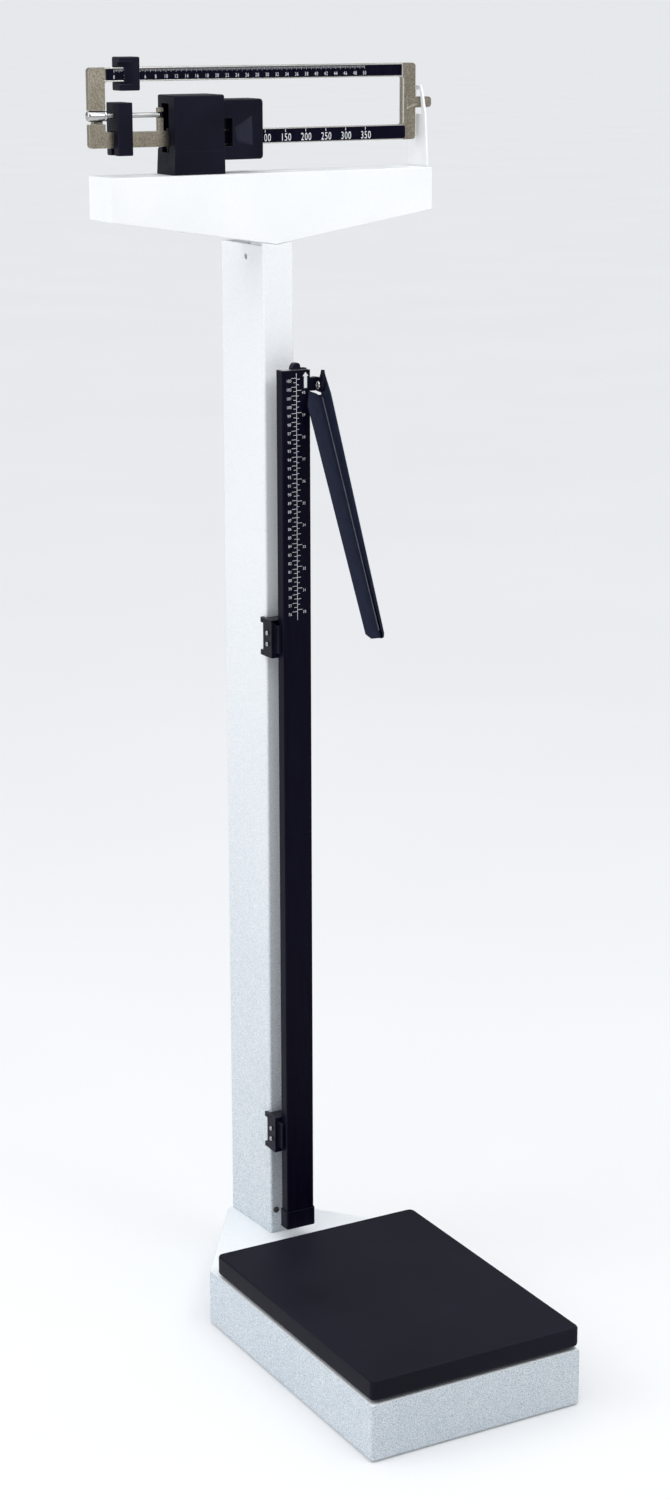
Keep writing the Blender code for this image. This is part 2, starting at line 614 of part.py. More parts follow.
def build_shelf_lever():
    low, high = SHELF_LEVER_Z
    outline = [(-118, low + 3), (-112, low - 1.5), (-106, low + 3), (-20, low), (52, low), (70, low + 1), (70, high - 1),
               (20, high), (-10, high), (-118, high - 2)]
    origin = (SHELF_FULCRUM_X, BEAM_Y, SHELF_FULCRUM_Z)
    near, far = BEAM_Y - BEAM_HALF_THICKNESS, BEAM_Y + BEAM_HALF_THICKNESS
    lever = prism("shelf_lever", outline, "y", near, far, origin, cast_iron("shelf_lever"))
    hole = beam_knife_outline(SHELF_FULCRUM_X, SHELF_FULCRUM_Z, -1, GAP)
    cut(lever, prism("shelf_lever_hole", hole, "y", near - 10, far + 10, origin))
    pin = beam_knife_outline(SHELF_FULCRUM_X, SHELF_FULCRUM_Z, -1, 0.0)
    prism("shelf_lever_knife", pin, "y", BEAM_Y - 14, BEAM_Y + 14, origin, steel("shelf_lever_knife"))


def build_steelyard_rod():
    """The long rod in the column, with an eye round the shelf lever and another round the long lever's nose."""
    origin = (0, BEAM_Y, SHELF_LEVER_Z[1])
    rod = prism("steelyard_rod", circle(0, BEAM_Y, STEELYARD_RADIUS, 12), "z", 56, 1308, origin, steel("steelyard_rod"))
    top = prism("steelyard_top_eye", rectangle(BEAM_Y - 9, BEAM_Y + 9, 1305, 1334), "x", -4, 4, origin)
    top_hole = prism("steelyard_top_hole", rectangle(BEAM_Y - 5.5, BEAM_Y + 5.5, 1311, 1328), "x", -20, 20, origin)
    foot = prism("steelyard_foot_eye", rectangle(-13.5, 13.5, 34, 59), "y", BEAM_Y - 4, BEAM_Y + 4, origin)
    foot_hole = prism("steelyard_foot_hole", rectangle(-10, 10, 37.5, 54.5), "y", 0, 60, origin)
    join(rod, top, foot)
    cut(rod, top_hole, foot_hole)


# ---------------------------------------------------------------- height rod

def build_rod_tube():
    origin = (0, ROD_BACK_Y, ROD_BOTTOM_Z)
    plan = rounded_rectangle(ROD_LEFT_X, ROD_RIGHT_X, ROD_FRONT_Y, ROD_BACK_Y, 2.0, 2)
    tube = prism("rod_tube", plan, "z", ROD_BOTTOM_Z, ROD_TOP_Z, origin, black_paint("rod_tube"))
    wall = ROD_WALL
    inside = rectangle(ROD_LEFT_X + wall, ROD_RIGHT_X - wall, ROD_FRONT_Y + wall, ROD_BACK_Y - wall)
    cut(tube, prism("rod_tube_inside", inside, "z", 0, 1300, origin))
    cut(tube, block("rod_tube_mouth", ROD_RIGHT_X - 5, ROD_RIGHT_X + 5, -34.0, -24.0, 1109.0, 1200.0, origin))


def build_rod_end_cap():
    origin = (0, ROD_BACK_Y, 85.5)
    grow = 1.2
    plan = rounded_rectangle(ROD_LEFT_X - grow, ROD_RIGHT_X + grow, ROD_FRONT_Y - grow, ROD_BACK_Y + grow, 2.4, 2)
    cap = prism("rod_end_cap", plan, "z", 85.5, 108.0, origin, black_plastic("rod_end_cap"))
    socket = rectangle(ROD_LEFT_X - GAP, ROD_RIGHT_X + GAP, ROD_FRONT_Y - GAP, ROD_BACK_Y + GAP)
    cut(cap, prism("rod_end_socket", socket, "z", ROD_BOTTOM_Z - GAP, 200, origin))


def build_inner_rod():
    inset = ROD_WALL + INNER_ROD_CLEARANCE
    left, right = ROD_LEFT_X + inset, ROD_RIGHT_X - inset
    front, back = ROD_FRONT_Y + inset, ROD_BACK_Y - inset
    origin = (0, ROD_BACK_Y, ROD_TOP_Z)
    rod = block("inner_rod", left, right, front, back, 96.0, ROD_TOP_Z + 0.4, origin, aluminium("inner_rod"))
    cut(rod, block("inner_rod_bore", left + 1.3, right - 1.3, front + 1.3, back - 1.3, 50, ROD_TOP_Z - 4, origin))


def build_rod_tab():
    base = ROD_TOP_Z + 0.4 + GAP
    tab = [(-1.8, base), (18.0, base), (18.0, base + 1.0), (10.0, base + 1.0), (9.2, base + 5.0), (7.6, base + 6.9),
           (4.4, base + 7.3), (1.6, base + 6.7), (-0.4, base + 3.6)]
    prism("rod_tab", tab, "y", -33.0, -25.0, (4, -29, base), black_plastic("rod_tab"))


def build_clip(name, low, material):
    """A stand-off that hooks round the column's front corners and holds the rod by its sides."""
    side = COLUMN_HALF_WIDTH + GAP
    outer = side + 4.0
    high = low + 45.0
    origin = (0, 0, low)
    core = block(name, -outer, outer, ROD_BACK_Y + GAP, -GAP, low, high, origin, material)
    for hand in (-1, 1):
        near, far = sorted((hand * side, hand * outer))
        waist = block(f"{name}_waist_{hand + 1}", near - 9, far + 9, -60, 40, low + 6.2, high - 6.2, origin)
        hook = block(f"{name}_hook_{hand + 1}", near, far, -3.0, 6.0, low, high, origin)
        cut(hook, waist)
        join(core, hook)
        edge, reach = (ROD_RIGHT_X, -24.5) if hand > 0 else (ROD_LEFT_X, -30.0)
        near, far = sorted((edge + hand * GAP, edge + hand * 3.4))
        join(core, block(f"{name}_cheek_{hand + 1}", near, far, reach, ROD_BACK_Y + 3.0, low + 7, high - 6, origin))


def build_clips():
    material = black_plastic("rod_clip")
    metal = chrome("clip_screw")
    for name, low in (("clip_upper", 801.0), ("clip_lower", 182.5)):
        build_clip(name, low, material)
        for place, z in (("top", low + 28.8), ("bottom", low + 15.5)):
            x = -(COLUMN_HALF_WIDTH + GAP + 4.0) - GAP
            body = prism(f"{name}_screw_{place}", circle(-11.4, z, 2.8, 12), "x", x - 1.8, x, (x, -11.4, z), metal)
            round_edges(body, 0.6, 1)


def blade_frame(along, behind):
    """A point of the hanging blade in Y and Z: so far down from the hinge, and so far behind it."""
    down = Vector((-math.sin(BLADE_LEAN), -math.cos(BLADE_LEAN)))
    back = Vector((math.cos(BLADE_LEAN), -math.sin(BLADE_LEAN)))
    point = Vector((HINGE_Y, HINGE_Z)) + down * along + back * behind
    return point.x, point.y


def build_bracket():
    """The arm on the inner rod with the cheek that carries the hinge, and a horn that stops the raised blade."""
    origin = (0, HINGE_Y, HINGE_Z)
    cheek = [(-23.0, 1126.0), (-43.0, 1127.2), (-45.2, 1136.0), (-48.6, 1136.0), (-50.4, 1127.0), (-49.6, 1116.0),
             (-43.0, 1110.2), (-36.0, 1110.6), (-23.0, 1114.5)]
    bracket = prism("headpiece_bracket", cheek, "x", 29.2, 32.4, origin, black_plastic("headpiece_bracket"))
    inner_face = ROD_RIGHT_X - ROD_WALL - INNER_ROD_CLEARANCE
    arm = block("bracket_arm", inner_face + GAP, 30.5, -33.0, -25.0, 1111.0, 1126.0, origin)
    join(bracket, arm)
    hole = prism("bracket_hole", circle(HINGE_Y, HINGE_Z, 2.6, 12), "x", 20, 40, origin)
    cut(bracket, hole)


def build_blade():
    """A tapering angle of sheet: a web that touches the head and a flange along its right edge that holds the hinge."""
    origin = (FLANGE_X, HINGE_Y, HINGE_Z)
    right = FLANGE_X + BLADE_SHEET
    start, stop = 12.0, BLADE_LENGTH
    flange = [blade_frame(-12.0, WEB_OFFSET - 8.0), blade_frame(-6.0, WEB_OFFSET), blade_frame(stop, WEB_OFFSET),
              blade_frame(stop + 0.5, WEB_OFFSET - FLANGE_DEPTH_TIP + 3.0),
              blade_frame(stop - 4.0, WEB_OFFSET - FLANGE_DEPTH_TIP),
              blade_frame(16.0, WEB_OFFSET - FLANGE_DEPTH_TOP), blade_frame(-10.0, WEB_OFFSET - FLANGE_DEPTH_TOP + 3.0)]
    blade = prism("headpiece_blade", flange, "x", FLANGE_X, right, origin, black_paint("headpiece_blade"))
    left_top, left_tip = right - BLADE_WIDTH_TOP - 1.0, right - BLADE_WIDTH_TIP
    plan = [(right - 0.3, start - 2), (28.6, start - 2), (26.0, start - 4), (left_top + 6.0, start - 7.5),
            (left_top, start + 9),
            (left_tip, stop - 7), (left_tip + 6.0, stop - 1.0), (right - 0.3, stop - 0.6)]
    front, back = WEB_OFFSET - BLADE_SHEET, WEB_OFFSET - 0.01
    points = [(x, *blade_frame(along, front)) for x, along in plan] + [(x, *blade_frame(along, back)) for x, along in plan]
    count = len(plan)
    faces = [list(range(count)), list(range(count, 2 * count))]
    faces += [[i, (i + 1) % count, count + (i + 1) % count, count + i] for i in range(count)]
    join(blade, new_object("blade_web", points, faces, origin))
    hole = prism("blade_hole", circle(HINGE_Y, HINGE_Z, 2.6, 12), "x", 20, 50, origin)
    cut(blade, hole)


def build_hinge_screw():
    body = screw("hinge_screw", 29.2 - GAP, HINGE_Y, HINGE_Z, "x", 1, 4.6, 2.4, 2.2, 7.6, chrome("hinge_screw"))
    return body


clear_scene()
stand_origin = bpy.data.objects.new("column_front", None)
stand_origin.location = (COLUMN_MIDDLE_X * MM, COLUMN_FRONT_Y * MM, 0)
bpy.context.scene.collection.objects.link(stand_origin)

build_base()
build_feet()
build_bearings()
build_long_lever()
build_short_lever()
build_lever_link()
build_platform()
build_column()
build_column_fixings()
build_shelf()
build_trig_loop()
build_stands()
build_housing()
build_beam()
build_beam_knives()
build_scale_plates()
build_upper_poise()
build_lower_poise()
build_balance()
build_load_link()
build_shelf_lever()
build_steelyard_rod()
build_rod_tube()
build_rod_end_cap()
build_inner_rod()
build_rod_tab()
build_clips()
build_bracket()
build_blade()
build_hinge_screw()
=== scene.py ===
"""Physician beam scale: finish, graduations and fine shapes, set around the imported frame."""

import json
import math

import bmesh
import bpy
from mathutils import Matrix, Vector

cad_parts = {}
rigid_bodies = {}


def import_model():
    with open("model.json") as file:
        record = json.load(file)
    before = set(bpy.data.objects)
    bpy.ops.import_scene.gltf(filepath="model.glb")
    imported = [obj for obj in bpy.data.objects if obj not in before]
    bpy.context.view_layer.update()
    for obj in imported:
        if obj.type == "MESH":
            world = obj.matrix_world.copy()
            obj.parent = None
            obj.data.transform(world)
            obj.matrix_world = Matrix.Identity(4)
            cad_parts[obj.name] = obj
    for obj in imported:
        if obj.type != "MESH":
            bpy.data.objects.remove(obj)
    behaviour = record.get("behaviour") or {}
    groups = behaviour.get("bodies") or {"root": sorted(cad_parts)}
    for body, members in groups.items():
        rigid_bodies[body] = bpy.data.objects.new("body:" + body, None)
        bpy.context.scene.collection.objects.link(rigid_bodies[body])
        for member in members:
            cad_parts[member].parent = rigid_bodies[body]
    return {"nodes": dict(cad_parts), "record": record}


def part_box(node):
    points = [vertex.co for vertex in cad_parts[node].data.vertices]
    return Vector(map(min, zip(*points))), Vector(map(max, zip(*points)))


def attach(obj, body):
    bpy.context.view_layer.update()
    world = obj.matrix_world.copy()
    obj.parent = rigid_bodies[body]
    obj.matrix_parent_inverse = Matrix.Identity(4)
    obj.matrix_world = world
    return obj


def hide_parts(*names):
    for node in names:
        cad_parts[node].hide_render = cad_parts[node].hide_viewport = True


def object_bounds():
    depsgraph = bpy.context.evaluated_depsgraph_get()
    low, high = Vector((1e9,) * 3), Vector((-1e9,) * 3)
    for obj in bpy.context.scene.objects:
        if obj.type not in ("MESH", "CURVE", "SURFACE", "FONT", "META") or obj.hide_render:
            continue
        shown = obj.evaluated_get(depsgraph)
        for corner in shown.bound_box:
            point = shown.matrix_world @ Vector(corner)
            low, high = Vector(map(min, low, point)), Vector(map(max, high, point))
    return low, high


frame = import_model()
cad_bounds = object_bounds()

MM = 0.001
COLUMN_LOW, COLUMN_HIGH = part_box("column")
ORIGIN = Vector(((COLUMN_LOW.x + COLUMN_HIGH.x) / 2, COLUMN_LOW.y, 0.0))


def place(x, y, z):
    """A point in millimetres about the foot of the column's front face, in the frame's metres."""
    return ORIGIN + Vector((x, y, z)) * MM


def span(node):
    """A node's lowest and highest corners, in the same millimetres."""
    low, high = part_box(node)
    return (low - ORIGIN) / MM, (high - ORIGIN) / MM


# ---------------------------------------------------------------- shader helpers

MIX_COLOUR_A, MIX_COLOUR_B, MIX_COLOUR_OUT = 6, 7, 2   # places of the Mix node's colour sockets


class Shader:
    """A material's nodes, with short calls for the ones used here."""

    def __init__(self, name, colour, roughness, metallic=0.0, specular=0.5):
        self.material = bpy.data.materials.new(name)
        self.material.use_nodes = True
        self.material.diffuse_color = (*colour, 1.0)
        self.tree = self.material.node_tree
        self.bsdf = self.tree.nodes["Principled BSDF"]
        self.bsdf.inputs["Base Color"].default_value = (*colour, 1.0)
        self.bsdf.inputs["Roughness"].default_value = roughness
        self.bsdf.inputs["Metallic"].default_value = metallic
        self.bsdf.inputs["Specular IOR Level"].default_value = specular
        self.place = self.tree.nodes.new("ShaderNodeTexCoord").outputs["Object"]

    def node(self, kind, **settings):
        made = self.tree.nodes.new(kind)
        for key, value in settings.items():
            setattr(made, key, value)
        return made

    def link(self, source, target):
        self.tree.links.new(source, target)

    def stretch(self, x, y, z):
        node = self.node("ShaderNodeMapping")
        node.inputs["Scale"].default_value = (x, y, z)
        self.link(self.place, node.inputs["Vector"])
        return node.outputs["Vector"]

    def noise(self, scale, detail=2.0, rough=0.5, vector=None):
        node = self.node("ShaderNodeTexNoise")
        node.inputs["Scale"].default_value = scale
        node.inputs["Detail"].default_value = detail
        node.inputs["Roughness"].default_value = rough
        self.link(vector or self.place, node.inputs["Vector"])
        return node.outputs["Fac"]

    def cells(self, scale):
        node = self.node("ShaderNodeTexVoronoi")
        node.inputs["Scale"].default_value = scale
        self.link(self.place, node.inputs["Vector"])
        return node.outputs["Distance"]

    def ramp(self, source, *stops):
        """stops are (position, value or colour)."""
        node = self.node("ShaderNodeValToRGB")
        elements = node.color_ramp.elements
        while len(elements) < len(stops):
            elements.new(0.5)
        for element, (position, value) in zip(elements, stops):
            element.position = position
            colour = value if isinstance(value, tuple) else (value, value, value)
            element.color = (*colour, 1.0)
        self.link(source, node.inputs["Fac"])
        return node.outputs["Color"]

    def mix(self, factor, first, second, blend="MIX"):
        node = self.node("ShaderNodeMix", data_type="RGBA", blend_type=blend)
        sockets = (node.inputs["Factor"], node.inputs[MIX_COLOUR_A], node.inputs[MIX_COLOUR_B])
        for socket, value in zip(sockets, (factor, first, second)):
            if isinstance(value, (int, float)):
                socket.default_value = value
            elif isinstance(value, tuple):
                socket.default_value = (*value, 1.0)
            else:
                self.link(value, socket)
        return node.outputs[MIX_COLOUR_OUT]

    def maths(self, operation, first, second):
        node = self.node("ShaderNodeMath", operation=operation)
        for socket, value in ((node.inputs[0], first), (node.inputs[1], second)):
            if isinstance(value, (int, float)):
                socket.default_value = value
            else:
                self.link(value, socket)
        return node.outputs[0]

    def edges(self, radius, low=0.05, high=0.5):
        """1 along sharp edges and corners, 0 on flat faces."""
        bevel = self.node("ShaderNodeBevel", samples=4)
        bevel.inputs["Radius"].default_value = radius
        geometry = self.node("ShaderNodeNewGeometry")
        apart = self.node("ShaderNodeVectorMath", operation="DISTANCE")
        self.link(bevel.outputs["Normal"], apart.inputs[0])
        self.link(geometry.outputs["Normal"], apart.inputs[1])
        return self.ramp(apart.outputs["Value"], (low, 0.0), (high, 1.0))

    def height(self):
        """The height above the floor, in metres at rest."""
        node = self.node("ShaderNodeSeparateXYZ")
        self.link(self.place, node.inputs["Vector"])
        return node.outputs["Z"]

    def facing_up(self):
        """1 on faces that look up, 0 on walls."""
        geometry = self.node("ShaderNodeNewGeometry")
        node = self.node("ShaderNodeSeparateXYZ")
        self.link(geometry.outputs["Normal"], node.inputs["Vector"])
        return self.ramp(node.outputs["Z"], (0.6, 0.0), (0.9, 1.0))

    def glossy_tops(self, low, high):
        """Faces that look up are wiped clean, and reflect more."""
        level = self.maths("MULTIPLY_ADD", self.facing_up(), high - low)
        level.node.inputs[2].default_value = low
        self.link(level, self.bsdf.inputs["Specular IOR Level"])

    def colour(self, source):
        self.link(source, self.bsdf.inputs["Base Color"])

    def roughness(self, source, low, high):
        self.link(self.ramp(source, (0.3, low), (0.7, high)), self.bsdf.inputs["Roughness"])

    def bump(self, source, strength, distance):
        node = self.node("ShaderNodeBump")
        node.inputs["Strength"].default_value = strength
        node.inputs["Distance"].default_value = distance
        self.link(source, node.inputs["Height"])
        earlier = self.bsdf.inputs["Normal"].links
        if earlier:
            self.link(earlier[0].from_socket, node.inputs["Normal"])
        self.link(node.outputs["Normal"], self.bsdf.inputs["Normal"])


# ---------------------------------------------------------------- materials

def white_enamel():
    """Textured white enamel: a fine grey-blue fleck, a pebbled surface and faint scuffs, with painted
    light that makes it paler higher up and on faces that look up.
    """
    paint = Shader("white_enamel", (0.84, 0.88, 0.92), 0.42, specular=0.4)
    fleck = paint.ramp(paint.noise(800, 3.0, 0.7), (0.38, (0.44, 0.50, 0.56)),
                       (0.50, (0.70, 0.76, 0.81)), (0.62, (0.93, 0.96, 0.98)))
    fine = paint.ramp(paint.noise(1500, 1.0), (0.35, (0.80, 0.83, 0.86)), (0.6, (1.0, 1.0, 1.0)))
    cloud = paint.ramp(paint.noise(9, 2.0), (0.3, (0.93, 0.95, 0.97)), (0.7, (1.0, 1.0, 1.0)))
    base = paint.mix(0.45, fleck, fine, "MULTIPLY")
    base = paint.mix(0.8, base, cloud, "MULTIPLY")
    # Painted light: the enamel is painted paler higher up and on faces that look up, standing in for
    # the stronger light from above.
    painted_top_light = paint.ramp(paint.height(), (0.05, (0.0, 0.0, 0.0)), (0.9, (1.0, 1.0, 1.0)))
    painted_top_light = paint.mix(paint.facing_up(), painted_top_light, (1.0, 1.0, 1.0))
    soft = paint.mix(painted_top_light, base, paint.mix(0.8, base, (0.97, 0.98, 0.99)))
    patches = paint.ramp(paint.noise(140, 3.0, 0.6), (0.60, 0.0), (0.68, 1.0))
    worn = paint.maths("MULTIPLY", paint.edges(0.0016), patches)
    paint.colour(paint.mix(paint.maths("MULTIPLY", worn, 0.75), soft, (0.30, 0.32, 0.35)))
    paint.roughness(paint.noise(60, 3.0), 0.34, 0.5)
    paint.bump(paint.noise(700, 2.0), 0.35, 0.0004)
    paint.bump(paint.noise(110, 1.0), 0.12, 0.0006)
    return paint.material


def sheet_enamel():
    """Smoother white enamel on the folded sheet of the beam box."""
    paint = Shader("sheet_enamel", (0.92, 0.94, 0.96), 0.34, specular=0.45)
    cloud = paint.ramp(paint.noise(14, 3.0), (0.3, (0.93, 0.945, 0.955)), (0.7, (0.98, 0.985, 0.99)))
    dust = paint.ramp(paint.noise(900, 2.0), (0.30, (0.90, 0.92, 0.94)), (0.5, (1.0, 1.0, 1.0)))
    base = paint.mix(0.5, cloud, dust, "MULTIPLY")
    patches = paint.ramp(paint.noise(120, 3.0), (0.60, 0.0), (0.7, 1.0))
    worn = paint.maths("MULTIPLY", paint.edges(0.0011), patches)
    paint.colour(paint.mix(paint.maths("MULTIPLY", worn, 0.5), base, (0.45, 0.47, 0.5)))
    paint.roughness(paint.noise(40, 3.0), 0.28, 0.44)
    paint.bump(paint.noise(260, 1.0), 0.10, 0.0004)
    return paint.material


def moulded_mat():
    """The rubber cover of the platform, with a fine grain that treading has polished, and edges
    painted lighter: partly wear, partly a painted highlight.
    """
    rubber = Shader("mat_rubber", (0.009, 0.009, 0.016), 0.5, specular=0.06)
    tread = rubber.noise(7, 3.0)
    base = rubber.ramp(tread, (0.3, (0.0075, 0.0072, 0.0135)), (0.7, (0.013, 0.0125, 0.021)))
    dust = rubber.ramp(rubber.noise(1300, 2.0, 0.7), (0.62, 0.0), (0.78, 1.0))
    # Painted highlight: the edges are painted lighter, partly as wear and partly for the sheen of
    # light along them.
    edge_wear_and_sheen = rubber.edges(0.003, 0.08, 0.6)
    base = rubber.mix(rubber.maths("MULTIPLY", dust, 0.25), base, (0.05, 0.052, 0.062))
    rubber.colour(rubber.mix(rubber.maths("MULTIPLY", edge_wear_and_sheen, 0.35), base, (0.035, 0.036, 0.046)))
    rubber.roughness(tread, 0.44, 0.56)
    rubber.bump(rubber.cells(900), 0.16, 0.0003)
    rubber.bump(rubber.noise(2200, 2.0), 0.12, 0.0002)
    return rubber.material


def black_moulding():
    """Bluish black moulded plastic with a spark-eroded grain, and edges painted lighter: partly wear,
    partly a painted highlight.
    """
    plastic = Shader("black_moulding", (0.004, 0.004, 0.012), 0.42, specular=0.11)
    base = plastic.ramp(plastic.noise(24, 3.0), (0.3, (0.0030, 0.0028, 0.0100)),
                        (0.7, (0.0058, 0.0056, 0.0160)))
    # Painted highlight: the edges are painted lighter, partly as wear and partly for the light caught
    # on them.
    edge_wear_and_sheen = plastic.maths("MULTIPLY", plastic.edges(0.0015, 0.1, 0.7), 0.5)
    plastic.colour(plastic.mix(edge_wear_and_sheen, base, (0.035, 0.037, 0.055)))
    plastic.roughness(plastic.noise(70, 3.0), 0.36, 0.5)
    plastic.glossy_tops(0.11, 0.6)
    plastic.bump(plastic.noise(2600, 2.0, 0.6), 0.22, 0.0002)
    return plastic.material


def painted_highlight_facet():
    """The smoother, paler facet of the large poise: its paleness is a painted highlight where the
    slanting facet catches the light.
    """
    plastic = Shader("painted_highlight_facet", (0.012, 0.014, 0.030), 0.34, specular=0.2)
    painted_facet = plastic.noise(45, 3.0)
    # Painted highlight: the facet is coloured paler than the black moulding around it.
    plastic.colour(plastic.ramp(painted_facet, (0.3, (0.010, 0.0115, 0.026)), (0.7, (0.017, 0.0195, 0.038))))
    plastic.roughness(painted_facet, 0.3, 0.44)
    plastic.bump(plastic.noise(1800, 2.0), 0.1, 0.0002)
    return plastic.material


def lacquer(name, dark, light):
    """Satin lacquer on metal, between two shades, with handling marks, and edges painted grey in
    patches: partly wear, partly a painted highlight.
    """
    paint = Shader(name, dark, 0.36, specular=0.05)
    long_marks = paint.noise(30, 4.0, 0.6, paint.stretch(6.0, 6.0, 0.7))
    base = paint.ramp(long_marks, (0.3, dark), (0.7, light))
    patches = paint.ramp(paint.noise(50, 3.0), (0.4, 0.15), (0.65, 0.8))
    # Painted highlight: the edges are painted lighter grey in patches, partly as wear and partly for
    # the light caught on them.
    edge_wear_and_sheen = paint.maths("MULTIPLY", paint.edges(0.0009, 0.1, 0.7), patches)
    paint.colour(paint.mix(edge_wear_and_sheen, base, (0.055, 0.058, 0.075)))
    paint.roughness(long_marks, 0.3, 0.46)
    paint.glossy_tops(0.05, 0.3)
    paint.bump(paint.noise(480, 2.0), 0.07, 0.0003)
    return paint.material


def cast_metal():
    """Bead-blasted die casting in a warm grey, tumbled bright on its edges."""
    metal = Shader("cast_metal", (0.40, 0.36, 0.29), 0.4, metallic=1.0)
    grain = metal.noise(750, 3.0, 0.7)
    base = metal.ramp(grain, (0.32, (0.20, 0.175, 0.135)), (0.5, (0.33, 0.295, 0.235)),
                      (0.7, (0.52, 0.48, 0.41)))
    stain = metal.ramp(metal.noise(30, 3.0), (0.35, (0.80, 0.78, 0.74)), (0.65, (1.0, 1.0, 1.0)))
    base = metal.mix(0.7, base, stain, "MULTIPLY")
    bright = metal.edges(0.0009, 0.12, 0.6)
    metal.colour(metal.mix(bright, base, (0.86, 0.85, 0.80)))
    metal.link(metal.mix(bright, metal.ramp(grain, (0.3, 0.5), (0.7, 0.38)), (0.16, 0.16, 0.16)),
               metal.bsdf.inputs["Roughness"])
    metal.bump(grain, 0.25, 0.0003)
    return metal.material


def polished_rim():
    """The machined rims of the bars."""
    metal = Shader("polished_rim", (0.80, 0.79, 0.76), 0.2, metallic=1.0)
    lines = metal.noise(300, 3.0, 0.6, metal.stretch(0.08, 1.0, 4.0))
    metal.colour(metal.ramp(lines, (0.3, (0.66, 0.65, 0.62)), (0.7, (0.90, 0.89, 0.87))))
    metal.roughness(lines, 0.14, 0.28)
    metal.bump(lines, 0.1, 0.0002)
    return metal.material


def chrome():
    """Bright chrome plate with hairline marks."""
    metal = Shader("chrome_plate", (0.50, 0.50, 0.51), 0.12, metallic=1.0)
    hair = metal.noise(900, 3.0, 0.6, metal.stretch(0.12, 1.0, 1.0))
    metal.colour(metal.ramp(hair, (0.3, (0.42, 0.42, 0.43)), (0.7, (0.58, 0.57, 0.56))))
    metal.roughness(hair, 0.08, 0.2)
    metal.bump(hair, 0.04, 0.0001)
    return metal.material


def zinc_steel():
    """Zinc-plated steel, slightly clouded."""
    metal = Shader("zinc_steel", (0.50, 0.52, 0.55), 0.32, metallic=1.0)
    cloud = metal.noise(160, 4.0, 0.6)
    metal.colour(metal.ramp(cloud, (0.3, (0.34, 0.36, 0.39)), (0.7, (0.62, 0.64, 0.66))))
    metal.roughness(cloud, 0.26, 0.42)
    metal.bump(metal.noise(1200, 2.0), 0.1, 0.0002)
    return metal.material


def cast_iron():
    """Grey iron from a sand mould, under a thin dark coat."""
    metal = Shader("cast_iron", (0.07, 0.07, 0.08), 0.62, metallic=0.55)
    grain = metal.noise(420, 4.0, 0.7)
    metal.colour(metal.ramp(grain, (0.3, (0.045, 0.045, 0.052)), (0.7, (0.12, 0.12, 0.13))))
    metal.roughness(grain, 0.52, 0.74)
    metal.bump(grain, 0.6, 0.0008)
    return metal.material


def drawn_aluminium():
    """Drawn aluminium with lines along its length."""
    metal = Shader("drawn_aluminium", (0.62, 0.63, 0.65), 0.32, metallic=1.0)
    lines = metal.noise(220, 3.0, 0.6, metal.stretch(6.0, 6.0, 0.05))
    metal.colour(metal.ramp(lines, (0.3, (0.50, 0.51, 0.53)), (0.7, (0.72, 0.73, 0.75))))
    metal.roughness(lines, 0.26, 0.4)
    metal.bump(lines, 0.12, 0.0002)
    return metal.material


def foot_rubber():
    """Matt rubber with a dusty tread."""
    rubber = Shader("foot_rubber", (0.02, 0.02, 0.024), 0.8, specular=0.2)
    grain = rubber.noise(350, 3.0)
    rubber.colour(rubber.ramp(grain, (0.3, (0.012, 0.012, 0.015)), (0.7, (0.035, 0.035, 0.04))))
    rubber.roughness(grain, 0.72, 0.88)
    rubber.bump(grain, 0.3, 0.0004)
    return rubber.material


def white_print():
    """White ink, thin in places."""
    ink = Shader("white_print", (0.72, 0.75, 0.78), 0.5, specular=0.3)
    thin = ink.noise(1600, 3.0, 0.6)
    ink.colour(ink.ramp(thin, (0.28, (0.42, 0.45, 0.49)), (0.45, (0.74, 0.77, 0.80)),
                        (0.7, (0.86, 0.88, 0.90))))
    ink.roughness(thin, 0.42, 0.6)
    return ink.material


def pale_floor():
    """Even pale grey under the object, with a barely visible drift of tone."""
    ground = Shader("pale_floor", (0.90, 0.90, 0.91), 0.6, specular=0.1)
    tone = ground.noise(1.2, 2.0)
    ground.colour(ground.ramp(tone, (0.3, (0.762, 0.762, 0.772)), (0.7, (0.780, 0.780, 0.786))))
    ground.bsdf.inputs["Emission Color"].default_value = (1.0, 1.0, 1.0, 1.0)
    ground.bsdf.inputs["Emission Strength"].default_value = 0.12
    return ground.material


MATERIALS = {"enamel": white_enamel(), "sheet": sheet_enamel(), "mat": moulded_mat(),
             "moulding": black_moulding(), "panel": painted_highlight_facet(),
             "lacquer": lacquer("black_lacquer", (0.0022, 0.0016, 0.0085), (0.0042, 0.0036, 0.0130)),
             "blade": lacquer("blade_lacquer", (0.0130, 0.0160, 0.0330), (0.0180, 0.0220, 0.0420)),
             # The lighter grey lacquer of the blade's bend bead is a painted highlight.
             "seam": lacquer("bend_highlight_lacquer", (0.085, 0.085, 0.115), (0.14, 0.14, 0.18)),
             "cast": cast_metal(), "rim": polished_rim(), "chrome": chrome(), "steel": zinc_steel(),
             "iron": cast_iron(), "aluminium": drawn_aluminium(), "foot": foot_rubber(),
             "ink": white_print()}


# ---------------------------------------------------------------- mesh helpers

SHARP_ANGLE = math.radians(50)           # edges sharper than this are rounded
FLAT_ANGLE = math.radians(0.4)           # faces closer than this are one face
WELD_DISTANCE = 1e-6


def body_of_node(node):
    for body, members in frame["record"]["behaviour"]["bodies"].items():
        if node in members:
            return body
    raise KeyError(node)


def add_object(name, shape, material):
    """An object from a bmesh in the frame's metres."""
    bmesh.ops.recalc_face_normals(shape, faces=shape.faces)
    for face in shape.faces:
        face.smooth = True
    mesh = bpy.data.meshes.new(name)
    shape.to_mesh(mesh)
    shape.free()
    obj = bpy.data.objects.new(name, mesh)
    bpy.context.scene.collection.objects.link(obj)
    mesh.materials.append(MATERIALS[material])
    return obj


